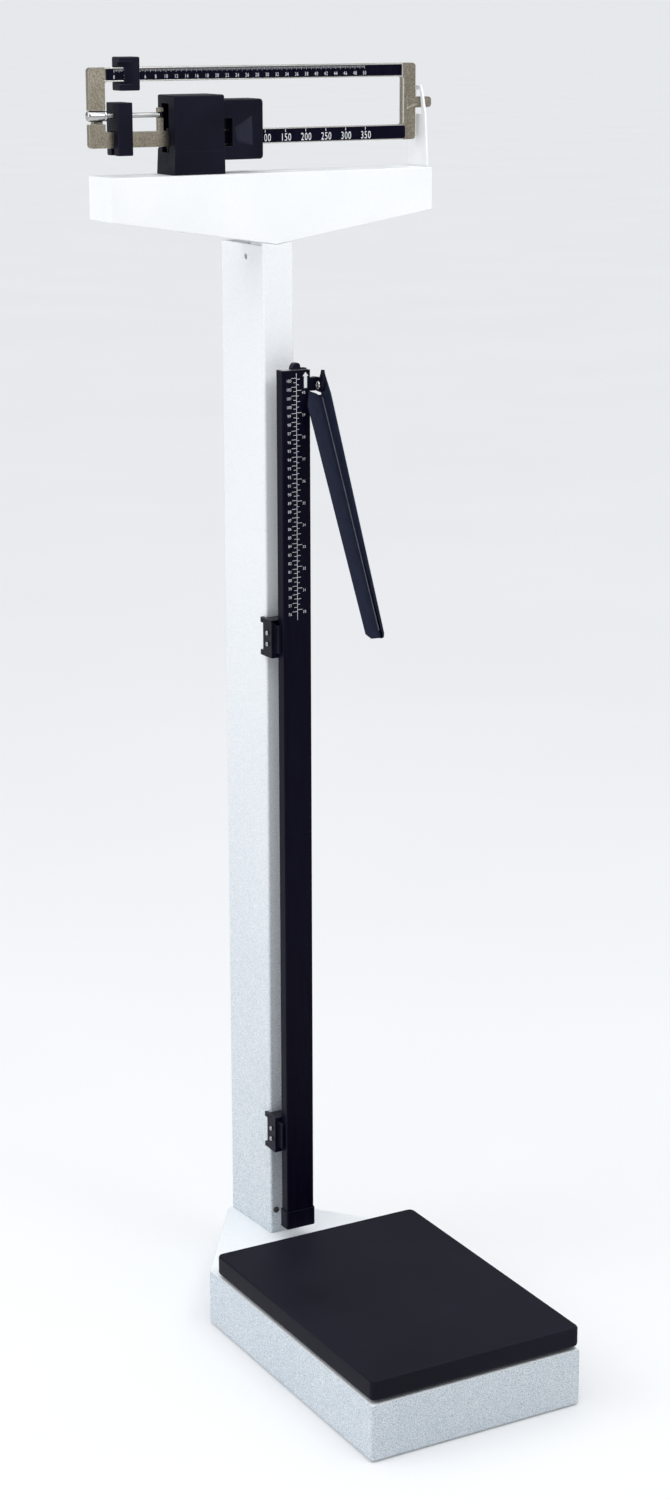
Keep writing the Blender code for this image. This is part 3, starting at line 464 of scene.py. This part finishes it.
def flat_shaded(obj):
    """Keeps flat faces flat in shading."""
    weighted = obj.modifiers.new("Shading", "WEIGHTED_NORMAL")
    weighted.weight = 90
    weighted.keep_sharp = True
    return obj


def bevelled(obj, width, segments=3):
    """Rounds the sharp edges, and keeps flat faces flat in shading."""
    bevel = obj.modifiers.new("Edges", "BEVEL")
    bevel.width = width * MM
    bevel.segments = segments
    bevel.limit_method = "ANGLE"
    bevel.angle_limit = SHARP_ANGLE
    bevel.use_clamp_overlap = True
    bevel.harden_normals = False
    return flat_shaded(obj)


def settle(obj):
    """Makes the object's modifiers part of its mesh."""
    graph = bpy.context.evaluated_depsgraph_get()
    mesh = bpy.data.meshes.new_from_object(obj.evaluated_get(graph))
    obj.modifiers.clear()
    obj.data = mesh
    return obj


def carve(obj, *tools):
    """Cuts the tools from the object, and removes them."""
    for tool in tools:
        modifier = obj.modifiers.new("Cut", "BOOLEAN")
        modifier.operation = "DIFFERENCE"
        modifier.solver = "EXACT"
        modifier.object = tool
    settle(obj)
    for tool in tools:
        bpy.data.objects.remove(tool, do_unlink=True)
    return obj


def whole_faces(node):
    """The node's shape, with its flat faces whole again."""
    shape = bmesh.new()
    shape.from_mesh(frame["nodes"][node].data)
    bmesh.ops.remove_doubles(shape, verts=shape.verts, dist=WELD_DISTANCE)
    bmesh.ops.dissolve_limit(shape, angle_limit=FLAT_ANGLE, verts=shape.verts, edges=shape.edges)
    return shape


def finish_like(obj, node):
    """The object stands for the node and moves with its body; the node is hidden."""
    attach(obj, body_of_node(node))
    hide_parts(node)
    return obj


def dress(node, material, width, segments=3, tools=()):
    """Stands in for a node with the same shape, rounded edges and finer detail."""
    obj = add_object(f"{node}_finish", whole_faces(node), material)
    if tools:
        carve(obj, *tools)
    bevelled(obj, width, segments)
    return finish_like(obj, node)


def along_axis(axis, along, a, b):
    """A point from its station on the axis and its two other coordinates."""
    return {"x": (along, a, b), "y": (a, along, b), "z": (a, b, along)}[axis]


def block(name, x0, x1, y0, y1, z0, z1, material):
    """A closed block, in millimetres about the column's foot."""
    shape = bmesh.new()
    outline = [(x0, z0), (x1, z0), (x1, z1), (x0, z1)]
    near, far = [[shape.verts.new(place(x, y, z)) for x, z in outline] for y in (y0, y1)]
    shape.faces.new(near)
    shape.faces.new(far)
    for i in range(4):
        j = (i + 1) % 4
        shape.faces.new((near[i], near[j], far[j], far[i]))
    return add_object(name, shape, material)


def hull(name, points, material="steel"):
    """The convex solid through the points."""
    shape = bmesh.new()
    for point in points:
        shape.verts.new(place(*point))
    bmesh.ops.convex_hull(shape, input=shape.verts)
    return add_object(name, shape, material)


def lathe(name, axis, centre, profile, material, segments=40):
    """A turned solid. The profile is (distance along the axis, radius), from one end to the other."""
    shape = bmesh.new()
    rings = []
    for along, radius in profile:
        ring = []
        for step in range(segments if radius > 0 else 1):
            angle = 2 * math.pi * step / segments
            a, b = radius * math.cos(angle), radius * math.sin(angle)
            offset = along_axis(axis, along, a, b)
            ring.append(shape.verts.new(place(*(c + o for c, o in zip(centre, offset)))))
        rings.append(ring)
    for first, second in zip(rings, rings[1:]):
        for i in range(segments):
            j = (i + 1) % segments
            corners = [first[i % len(first)], first[j % len(first)],
                       second[j % len(second)], second[i % len(second)]]
            shape.faces.new(list(dict.fromkeys(corners)))
    for ring in (rings[0], rings[-1]):
        if len(ring) > 1:
            shape.faces.new(ring)
    return add_object(name, shape, material)


# ---------------------------------------------------------------- printed graduations

CAP_HEIGHT = 0.72                 # height of a digit, in text sizes


def digit_shapes():
    """Vertices and faces of each digit, one text size high, drawn in X and Y."""
    shapes = {}
    scene_objects = bpy.context.scene.collection.objects
    for digit in "0123456789":
        curve = bpy.data.curves.new("digit", "FONT")
        curve.body = digit
        curve.align_x = "CENTER"
        curve.resolution_u = 3
        text = bpy.data.objects.new("digit", curve)
        scene_objects.link(text)
        graph = bpy.context.evaluated_depsgraph_get()
        mesh = bpy.data.meshes.new_from_object(text.evaluated_get(graph))
        points = [vertex.co.copy() for vertex in mesh.vertices]
        shapes[digit] = (points, [tuple(polygon.vertices) for polygon in mesh.polygons])
        bpy.data.objects.remove(text, do_unlink=True)
        bpy.data.meshes.remove(mesh)
    return shapes


DIGITS = digit_shapes()
INK_LIFT = 0.015                  # gap between a face and the ink on it
INK_THICKNESS = 0.045


class Print:
    """Ink on a face that looks towards -Y: bars and numbers, gathered into one thin solid piece."""

    def __init__(self, face_y):
        self.face = face_y - INK_LIFT
        self.shape = bmesh.new()

    def sheet(self, points, faces):
        """A flat shape in X and Z given thickness towards the front."""
        back = [self.shape.verts.new(place(x, self.face, z)) for x, z in points]
        front = [self.shape.verts.new(place(x, self.face - INK_THICKNESS, z)) for x, z in points]
        sides = {}
        for face in faces:
            self.shape.faces.new([front[i] for i in face])
            self.shape.faces.new([back[i] for i in reversed(face)])
            for a, b in zip(face, face[1:] + face[:1]):
                sides[(a, b)] = True
        for a, b in sides:
            if (b, a) not in sides:
                self.shape.faces.new((front[a], front[b], back[b], back[a]))

    def bar(self, x0, x1, z0, z1):
        self.sheet([(x0, z0), (x1, z0), (x1, z1), (x0, z1)], [(0, 1, 2, 3)])

    def number(self, text, x, z, height, pitch, narrow=1.0):
        """A number centred on x with its foot at z."""
        size = height / CAP_HEIGHT
        for index, digit in enumerate(text):
            centre = x + (index - (len(text) - 1) / 2) * pitch
            points, faces = DIGITS[digit]
            self.sheet([(centre + p.x * size * narrow, z + p.y * size) for p in points], faces)

    def finish(self, name, body):
        obj = add_object(name, self.shape, "ink")
        for polygon in obj.data.polygons:
            polygon.use_smooth = False
        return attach(obj, body)


UPPER_ZERO, UPPER_PITCH = -188.8, 6.29    # first mark and one whole division
LOWER_ZERO, LOWER_PITCH = -55.1, 26.0     # zero and fifty units
ROD_MIDDLE = 2.0                          # the printed centre line on the rod
FIRST_CENTIMETRE, LAST_CENTIMETRE = 76, 103
FIRST_INCH, LAST_INCH = 30, 40
CENTIMETRE, INCH = 10.0, 25.4


def upper_graduations():
    """0 to 50 on the fractional bar: quarter, half and whole divisions, numbered by twos."""
    low, high = span("upper_scale_plate")
    ink = Print(low.y)
    top = high.z - 0.5
    lengths = {0: 3.3, 2: 2.4, 1: 1.7, 3: 1.7}
    for quarter in range(4 * 50 + 1):
        x = UPPER_ZERO + quarter * UPPER_PITCH / 4
        ink.bar(x - 0.16, x + 0.16, top - lengths[quarter % 4], top)
        if quarter % 8 == 0:
            ink.number(str(quarter // 4), x, low.z + 1.3, 4.1, 2.5, 0.72)
    ink.finish("upper_graduations", "beam_body")


def lower_graduations():
    """0 to 350 on the main bar, by fifties."""
    low, high = span("lower_scale_plate")
    ink = Print(low.y)
    for step in range(1, 8):
        x = LOWER_ZERO + step * LOWER_PITCH
        ink.bar(x - 0.35, x + 0.35, high.z - 3.6, high.z - 0.3)
        ink.number(str(50 * step), x + 0.6, low.z + 1.0, 8.6, 4.7, 0.7)
    ink.finish("lower_graduations", "beam_body")


def rod_graduations():
    """Centimetres on the left of a centre line and inches on its right, read at the headpiece."""
    low, high = span("rod_tube")
    ink = Print(low.y)
    middle = ROD_MIDDLE
    mat_top = span("platform_mat")[1].z
    foot = mat_top + CENTIMETRE * (FIRST_CENTIMETRE - 1)
    ink.bar(middle - 0.25, middle + 0.25, foot, high.z - 3.0)
    for half in range(2 * FIRST_CENTIMETRE, 2 * LAST_CENTIMETRE + 1):
        z = mat_top + half * CENTIMETRE / 2
        reach = 6.4 if half % 2 == 0 else 4.0
        ink.bar(middle - reach, middle, z - 0.25, z + 0.25)
        if half % 2 == 0:
            ink.number(str(half // 2), middle - 9.6, z - 4.4, 3.5, 2.3, 0.85)
    lowest, highest = mat_top + CENTIMETRE * FIRST_CENTIMETRE - 8.0, high.z - 8.0
    for quarter in range(4 * FIRST_INCH, 4 * LAST_INCH + 3):
        z = mat_top + quarter * INCH / 4
        if not lowest <= z <= highest:
            continue
        reach = {0: 6.4, 2: 4.6}.get(quarter % 4, 3.2)
        ink.bar(middle, middle + reach, z - 0.25, z + 0.25)
        if quarter % 4 == 0:
            ink.number(str(quarter // 4), middle + 9.2, z - 4.4, 3.3, 2.3, 0.85)
    ink.finish("rod_graduations", "stand")


def rod_arrow():
    """A plain arrow that points to where the raised rod is read."""
    low, high = span("rod_tube")
    ink = Print(low.y)
    x, top, bottom = 13.8, high.z - 2.4, high.z - 20.5
    neck = top - 4.6
    outline = [(x - 2.0, bottom), (x + 2.0, bottom), (x + 2.0, neck), (x + 3.8, neck), (x, top),
               (x - 3.8, neck), (x - 2.0, neck)]
    ink.sheet(outline, [tuple(range(len(outline)))])
    ink.finish("rod_arrow", "stand")


# ---------------------------------------------------------------- base and column

RECESS_LENGTH, RECESS_WIDTH = 0.62, 0.12       # halves of a recess's arm, in head radii
RECESS_DEPTH = 0.45                            # in heights of the head


def recess_arm(name, index, centre, near, far, half):
    """A cutter across a screw's head, from near to far on the screw's axis."""
    others = [i for i in range(3) if i != index]
    corners = []
    for along in (near, far):
        for a in (-1, 1):
            for b in (-1, 1):
                point = [0.0, 0.0, 0.0]
                point[index] = along
                point[others[0]] = centre[others[0]] + a * half[0]
                point[others[1]] = centre[others[1]] + b * half[1]
                corners.append(tuple(point))
    return hull(name, corners)


def screw_head(name, node, axis, radius, rise, seat, centre, material):
    """A domed head with a cross recess, in the space of the node's head, that looks down its axis."""
    dome = [(0.0, radius * 0.96), (-rise * 0.45, radius), (-rise * 0.8, radius * 0.82),
            (-rise * 0.96, radius * 0.5), (-rise, 0.0)]
    shank = [(5.0, 0.0), (5.0, radius * 0.45), (0.0, radius * 0.45)]
    index = {"x": 0, "y": 1, "z": 2}[axis]
    spot = [0.0 if i == index else c for i, c in enumerate(centre)]
    obj = lathe(name, axis, spot, [(seat + along, r) for along, r in shank + dome], material, 28)
    near, far = seat - rise - 2.0, seat - rise + rise * RECESS_DEPTH
    long, short = radius * RECESS_LENGTH, radius * RECESS_WIDTH
    arms = [recess_arm(f"{name}_recess_{turn}", index, centre, near, far, half)
            for turn, half in enumerate(((long, short), (short, long)))]
    carve(obj, *arms)
    flat_shaded(obj)
    return finish_like(obj, node)


def base_and_column():
    dress("base_casting", "enamel", 0.7, 2)
    dress("column", "enamel", 0.25, 2)
    dress("platform_mat", "mat", 0.6, 2)
    low, high = span("column_screw")
    middle = (low + high) / 2
    screw_head("column_screw_head", "column_screw", "y", 4.0, 2.4, -0.3, middle, "iron")


# ---------------------------------------------------------------- beam box and what stands on it

def beam_box():
    dress("beam_box", "sheet", 0.35, 2)
    dress("trig_loop", "sheet", 0.3, 2)
    dress("pivot_housing", "moulding", 0.5, 3)


ARROW_TIP, ARROW_TOP, ARROW_BOTTOM = (198.9, 1426.3), (183.0, 1432.2), (183.1, 1420.2)
ARROW_WIDTH, ARROW_DEPTH = 1.1, 0.6
CASTING_GAP = 0.3                 # from the backs of the scale plates to the casting's face
RIM_RISE, RIM_SINK = 0.75, 0.25   # a rim's reach in front of and behind the plates' backs


def groove(name, start, end, width, face_y, depth):
    """A tool that cuts a line from start to end, in X and Z, into a face that looks towards -Y."""
    along = Vector((end[0] - start[0], end[1] - start[1])).normalized()
    side = Vector((-along.y, along.x)) * width / 2
    first, last = Vector(start) - along * width / 2, Vector(end) + along * width / 2
    corners = [first + side, last + side, last - side, first - side]
    middle = [first, last]
    points = [(c.x, face_y - 0.5, c.y) for c in corners] + [(c.x, face_y, c.y) for c in corners]
    points += [(c.x, face_y + depth, c.y) for c in middle]
    return hull(name, points)


def beam():
    """The casting, with an arrowhead engraved on the tongue, and bright machined rims."""
    sides = ((ARROW_TOP, ARROW_TIP), (ARROW_BOTTOM, ARROW_TIP), (ARROW_TOP, ARROW_BOTTOM))
    upper_low, upper_high = span("upper_scale_plate")
    lower_low, lower_high = span("lower_scale_plate")
    plate_back = upper_high.y
    lines = [groove(f"arrow_line_{i}", start, end, ARROW_WIDTH, plate_back + CASTING_GAP, ARROW_DEPTH)
             for i, (start, end) in enumerate(sides)]
    dress("beam", "cast", 0.55, 3, tools=lines)
    foot, crest = upper_low.z - 1.8, upper_high.z + 1.5
    rims = {"upper_rim_bottom": (upper_low.x - 2, upper_high.x, foot, upper_low.z - 0.3),
            "upper_rim_top": (upper_low.x - 2, upper_high.x, upper_high.z + 0.3, crest),
            "upper_rim_end": (upper_high.x + 0.3, upper_high.x + 1.7, foot, crest),
            "window_rim_right": (177.2, 178.5, lower_high.z + 2.6, upper_low.z - 2.6),
            "lower_rim_bottom": (lower_low.x, lower_high.x - 3, lower_low.z - 1.5, lower_low.z - 0.3),
            "lower_rim_top": (lower_low.x, lower_high.x - 3, lower_high.z + 0.3, lower_high.z + 1.2)}
    for name, (x0, x1, z0, z1) in rims.items():
        rim = block(name, x0, x1, plate_back - RIM_RISE, plate_back + RIM_SINK, z0, z1, "rim")
        bevelled(rim, 0.3, 3)
        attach(rim, "beam_body")


def scale_plates():
    for node in ("upper_scale_plate", "lower_scale_plate"):
        dress(node, "lacquer", 0.12, 2)


# The slanting recess in the large poise: corners in X and Z, deepest along its left edge.
RECESS_LEFT = ((-47.6, 1403.6), (-43.8, 1387.8))
RECESS_RIGHT = ((-26.4, 1416.6), (-25.2, 1385.2))
RECESS_LEFT_DEPTH, RECESS_RIGHT_DEPTH = 5.5, 0.2
CUTTER_REACH = 2.0
PANEL_RISE, PANEL_SINK = 0.05, 0.25


def poises():
    """Both poises, the large one with a paler panel in its recess, a painted highlight on the
    slanting facet.
    """
    dress("upper_poise", "moulding", 0.4, 3)
    front = span("lower_poise")[0].y
    floor_corners, cutter = [], []
    for side, depth in ((RECESS_LEFT, RECESS_LEFT_DEPTH), (RECESS_RIGHT, RECESS_RIGHT_DEPTH)):
        floor_corners += [(x, front + depth, z) for x, z in side]
        cutter += [(x, front + depth, z) for x, z in side]
        cutter += [(x, front - CUTTER_REACH, z) for x, z in side]
    dress("lower_poise", "moulding", 0.4, 3, tools=[hull("lower_poise_recess", cutter)])
    painted_facet = [(x, y + shift, z) for x, y, z in floor_corners for shift in (-PANEL_RISE, PANEL_SINK)]
    # The panel's paler colour is a painted highlight.
    panel = hull("lower_poise_panel", painted_facet, "panel")
    flat_shaded(panel)
    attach(panel, "lower_poise_body")


# The knob's outline: distance from its left end, and radius.
KNOB = ((0.0, 0.0), (0.0, 3.4), (0.6, 4.9), (2.0, 5.8), (3.2, 5.9), (18.9, 5.9), (19.4, 5.2),
        (20.3, 5.2), (20.8, 5.9), (22.6, 5.9), (23.3, 5.2), (23.4, 2.9))
THREAD_START, THREAD_PITCH = 24.4, 1.25
THREAD_CREST, THREAD_ROOT = 2.86, 2.62


def balance():
    """The balance weight, and its screw with a turned knob and thread grooves."""
    dress("balance_weight", "moulding", 0.5, 3)
    low, high = span("balance_screw")
    z = (low.z + high.z) / 2
    y = (low.y + high.y) / 2
    profile = [(low.x + along, radius) for along, radius in KNOB]
    x = low.x + THREAD_START
    while x < high.x - 3.0:
        profile += [(x, THREAD_CREST), (x + 0.32, THREAD_ROOT), (x + 0.62, THREAD_CREST)]
        x += THREAD_PITCH
    profile += [(high.x - 1.0, 2.85), (high.x, 2.2), (high.x, 0.0)]
    obj = lathe("balance_screw_turned", "x", (0.0, y, z), profile, "chrome", 40)
    flat_shaded(obj)
    finish_like(obj, "balance_screw")


# ---------------------------------------------------------------- height rod and headpiece

BLADE_LEAN = math.radians(27.6)   # how far the hanging blade leans from plumb


def blade_point(x, along, behind):
    """A point of the hanging blade: so far down from its hinge, and so far behind it."""
    low, high = span("hinge_screw")
    hinge = (low + high) / 2
    sine, cosine = math.sin(BLADE_LEAN), math.cos(BLADE_LEAN)
    return (x, hinge.y - sine * along + cosine * behind, hinge.z - cosine * along - sine * behind)


def blade_bend_highlight():
    """A light grey bead along the bend between the blade's web and its flange: a painted highlight on
    the bend.
    """
    bend_x, web_front = 33.0, 4.8
    corners = [blade_point(bend_x + x, along, web_front + b) for along in (13.0, 292.0)
               for x, b in ((-1.2, 0.15), (0.2, 0.15), (0.2, -0.8), (-0.6, -0.5))]
    # Painted highlight: a light grey bead standing in for the light caught by the bend.
    bead = hull("blade_bend_highlight", corners, "seam")
    bevelled(bead, 0.2, 2)
    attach(bead, "headpiece")


def height_rod():
    dress("rod_tube", "lacquer", 0.3, 2)
    dress("rod_end_cap", "lacquer", 0.4, 2)
    dress("rod_tab", "moulding", 0.6, 3)
    dress("headpiece_bracket", "moulding", 0.4, 2)
    dress("headpiece_blade", "blade", 0.3, 2)
    blade_bend_highlight()
    low, high = span("hinge_screw")
    middle = (low + high) / 2
    screw_head("hinge_screw_head", "hinge_screw", "x", 4.6, 2.4, low.x + 2.4, middle, "chrome")


def clips():
    for clip in ("clip_upper", "clip_lower"):
        dress(clip, "moulding", 0.5, 3)
        for spot in ("top", "bottom"):
            node = f"{clip}_screw_{spot}"
            low, high = span(node)
            radius, rise = (high.z - low.z) / 2, high.x - low.x
            screw_head(f"{node}_head", node, "x", radius, rise, high.x, (low + high) / 2, "steel")


# ---------------------------------------------------------------- what stays as it is

PLAIN = {"iron": ("long_lever", "short_lever", "platform_deck", "shelf_lever", "fulcrum_stand",
                  "shelf_fulcrum_stand"),
         "steel": ("lever_link", "load_link", "steelyard_rod", "column_cleat_left",
                   "column_cleat_right"),
         "aluminium": ("inner_rod",),
         "foot": ("foot_front_left", "foot_front_right", "foot_back_left", "foot_back_right")}


def paint_nodes():
    """New materials on the nodes that keep their own shape."""
    chosen = {node: material for material, nodes in PLAIN.items() for node in nodes}
    for node, obj in frame["nodes"].items():
        material = chosen.get(node)
        if material is None and ("knife" in node or node.startswith("bearing")):
            material = "steel"
        if material is None:
            continue
        for slot in obj.material_slots:
            slot.material = MATERIALS[material]


# ---------------------------------------------------------------- studio

FLOOR_SIZE = 1500.0
CAMERA_SPOT = (-1527.69, -2850.84, 1550.52)
CAMERA_YAW, CAMERA_PITCH, CAMERA_ROLL = math.radians(29.3), math.radians(15.02), math.radians(-0.10)
CAMERA_LENS, CAMERA_SENSOR = 67.87, 36.0


def floor():
    shape = bmesh.new()
    bmesh.ops.create_grid(shape, x_segments=8, y_segments=8, size=FLOOR_SIZE)
    mesh = bpy.data.meshes.new("studio_floor")
    shape.to_mesh(mesh)
    shape.free()
    obj = bpy.data.objects.new("studio_floor", mesh)
    bpy.context.scene.collection.objects.link(obj)
    mesh.materials.append(pale_floor())
    obj.location.z = cad_bounds[0].z


def area_light(name, spot, target, size, power):
    light = bpy.data.lights.new(name, "AREA")
    light.shape = "RECTANGLE"
    light.size, light.size_y = size
    light.energy = power
    obj = bpy.data.objects.new(name, light)
    obj.location = spot
    obj.rotation_euler = (Vector(target) - Vector(spot)).to_track_quat("-Z", "Y").to_euler()
    bpy.context.scene.collection.objects.link(obj)


def studio_light():
    """Soft light from the left and above, and a weaker one from the front right."""
    area_light("left_softbox", (-1.9, 0.5, 1.9), (0.0, 0.1, 1.1), (1.2, 1.4), 9.0)
    area_light("top_softbox", (-0.2, -0.9, 3.2), (0.0, 0.0, 1.1), (2.2, 1.6), 13.0)
    area_light("front_softbox", (0.25, -0.95, 1.95), (0.0, 0.2, 1.4), (0.6, 0.5), 4.6)


def studio_world():
    """A room that lights from the left, the back and above, and shows an even pale grey."""
    world = bpy.data.worlds.new("studio")
    bpy.context.scene.world = world
    world.use_nodes = True
    tree = world.node_tree
    tree.nodes.clear()
    made = tree.nodes.new
    join = tree.links.new
    way = made("ShaderNodeTexCoord").outputs["Generated"]
    parts = made("ShaderNodeSeparateXYZ")
    join(way, parts.inputs[0])

    def ramped(socket, stops):
        shift = made("ShaderNodeMath")
        shift.operation = "MULTIPLY_ADD"
        shift.inputs[1].default_value = 0.5
        shift.inputs[2].default_value = 0.5
        join(socket, shift.inputs[0])
        ramp = made("ShaderNodeValToRGB")
        ramp.color_ramp.interpolation = "EASE"
        while len(ramp.color_ramp.elements) < len(stops):
            ramp.color_ramp.elements.new(0.5)
        for element, (position, value) in zip(ramp.color_ramp.elements, stops):
            element.position = position
            element.color = (value, value, value, 1.0)
        join(shift.outputs[0], ramp.inputs[0])
        return ramp.outputs[0]

    def blend(operation, first, second):
        node = made("ShaderNodeMath")
        node.operation = operation
        join(first, node.inputs[0])
        join(second, node.inputs[1])
        return node.outputs[0]

    side = ramped(parts.outputs["X"], [(0.0, 0.58), (0.45, 0.20), (1.0, 0.20)])
    depth = ramped(parts.outputs["Y"], [(0.0, 0.35), (0.5, 1.0), (0.9, 0.85)])
    above = ramped(parts.outputs["Z"], [(0.45, 0.0), (0.65, 0.10), (1.0, 1.25)])
    level = blend("ADD", blend("MULTIPLY", side, depth), above)
    lit = made("ShaderNodeBackground")
    join(level, lit.inputs["Strength"])
    lit.inputs["Color"].default_value = (0.95, 0.975, 1.0, 1.0)
    seen = made("ShaderNodeBackground")
    seen.inputs["Color"].default_value = (0.795, 0.81, 0.83, 1.0)
    seen.inputs["Strength"].default_value = 1.0
    path = made("ShaderNodeLightPath")
    choose = made("ShaderNodeMixShader")
    join(path.outputs["Is Camera Ray"], choose.inputs[0])
    join(lit.outputs[0], choose.inputs[1])
    join(seen.outputs[0], choose.inputs[2])
    join(choose.outputs[0], made("ShaderNodeOutputWorld").inputs[0])


def camera():
    """A view from the front left, a little above the beam."""
    data = bpy.data.cameras.new("camera")
    data.sensor_fit = "AUTO"
    data.sensor_width = CAMERA_SENSOR
    data.lens = CAMERA_LENS
    data.clip_end = 4000.0
    obj = bpy.data.objects.new("camera", data)
    heading = Matrix.Rotation(-CAMERA_YAW, 3, "Z")
    tilt = Matrix.Rotation(math.pi / 2 - CAMERA_PITCH, 3, "X")
    roll = Matrix.Rotation(CAMERA_ROLL, 3, "Z")
    obj.location = place(*CAMERA_SPOT)
    obj.rotation_euler = (heading @ tilt @ roll).to_euler()
    bpy.context.scene.collection.objects.link(obj)
    bpy.context.scene.camera = obj


camera()
floor()
studio_light()
studio_world()
bpy.context.scene.view_settings.view_transform = "Standard"
paint_nodes()
base_and_column()
beam_box()
beam()
scale_plates()
poises()
balance()
height_rod()
clips()
upper_graduations()
lower_graduations()
rod_graduations()
rod_arrow()
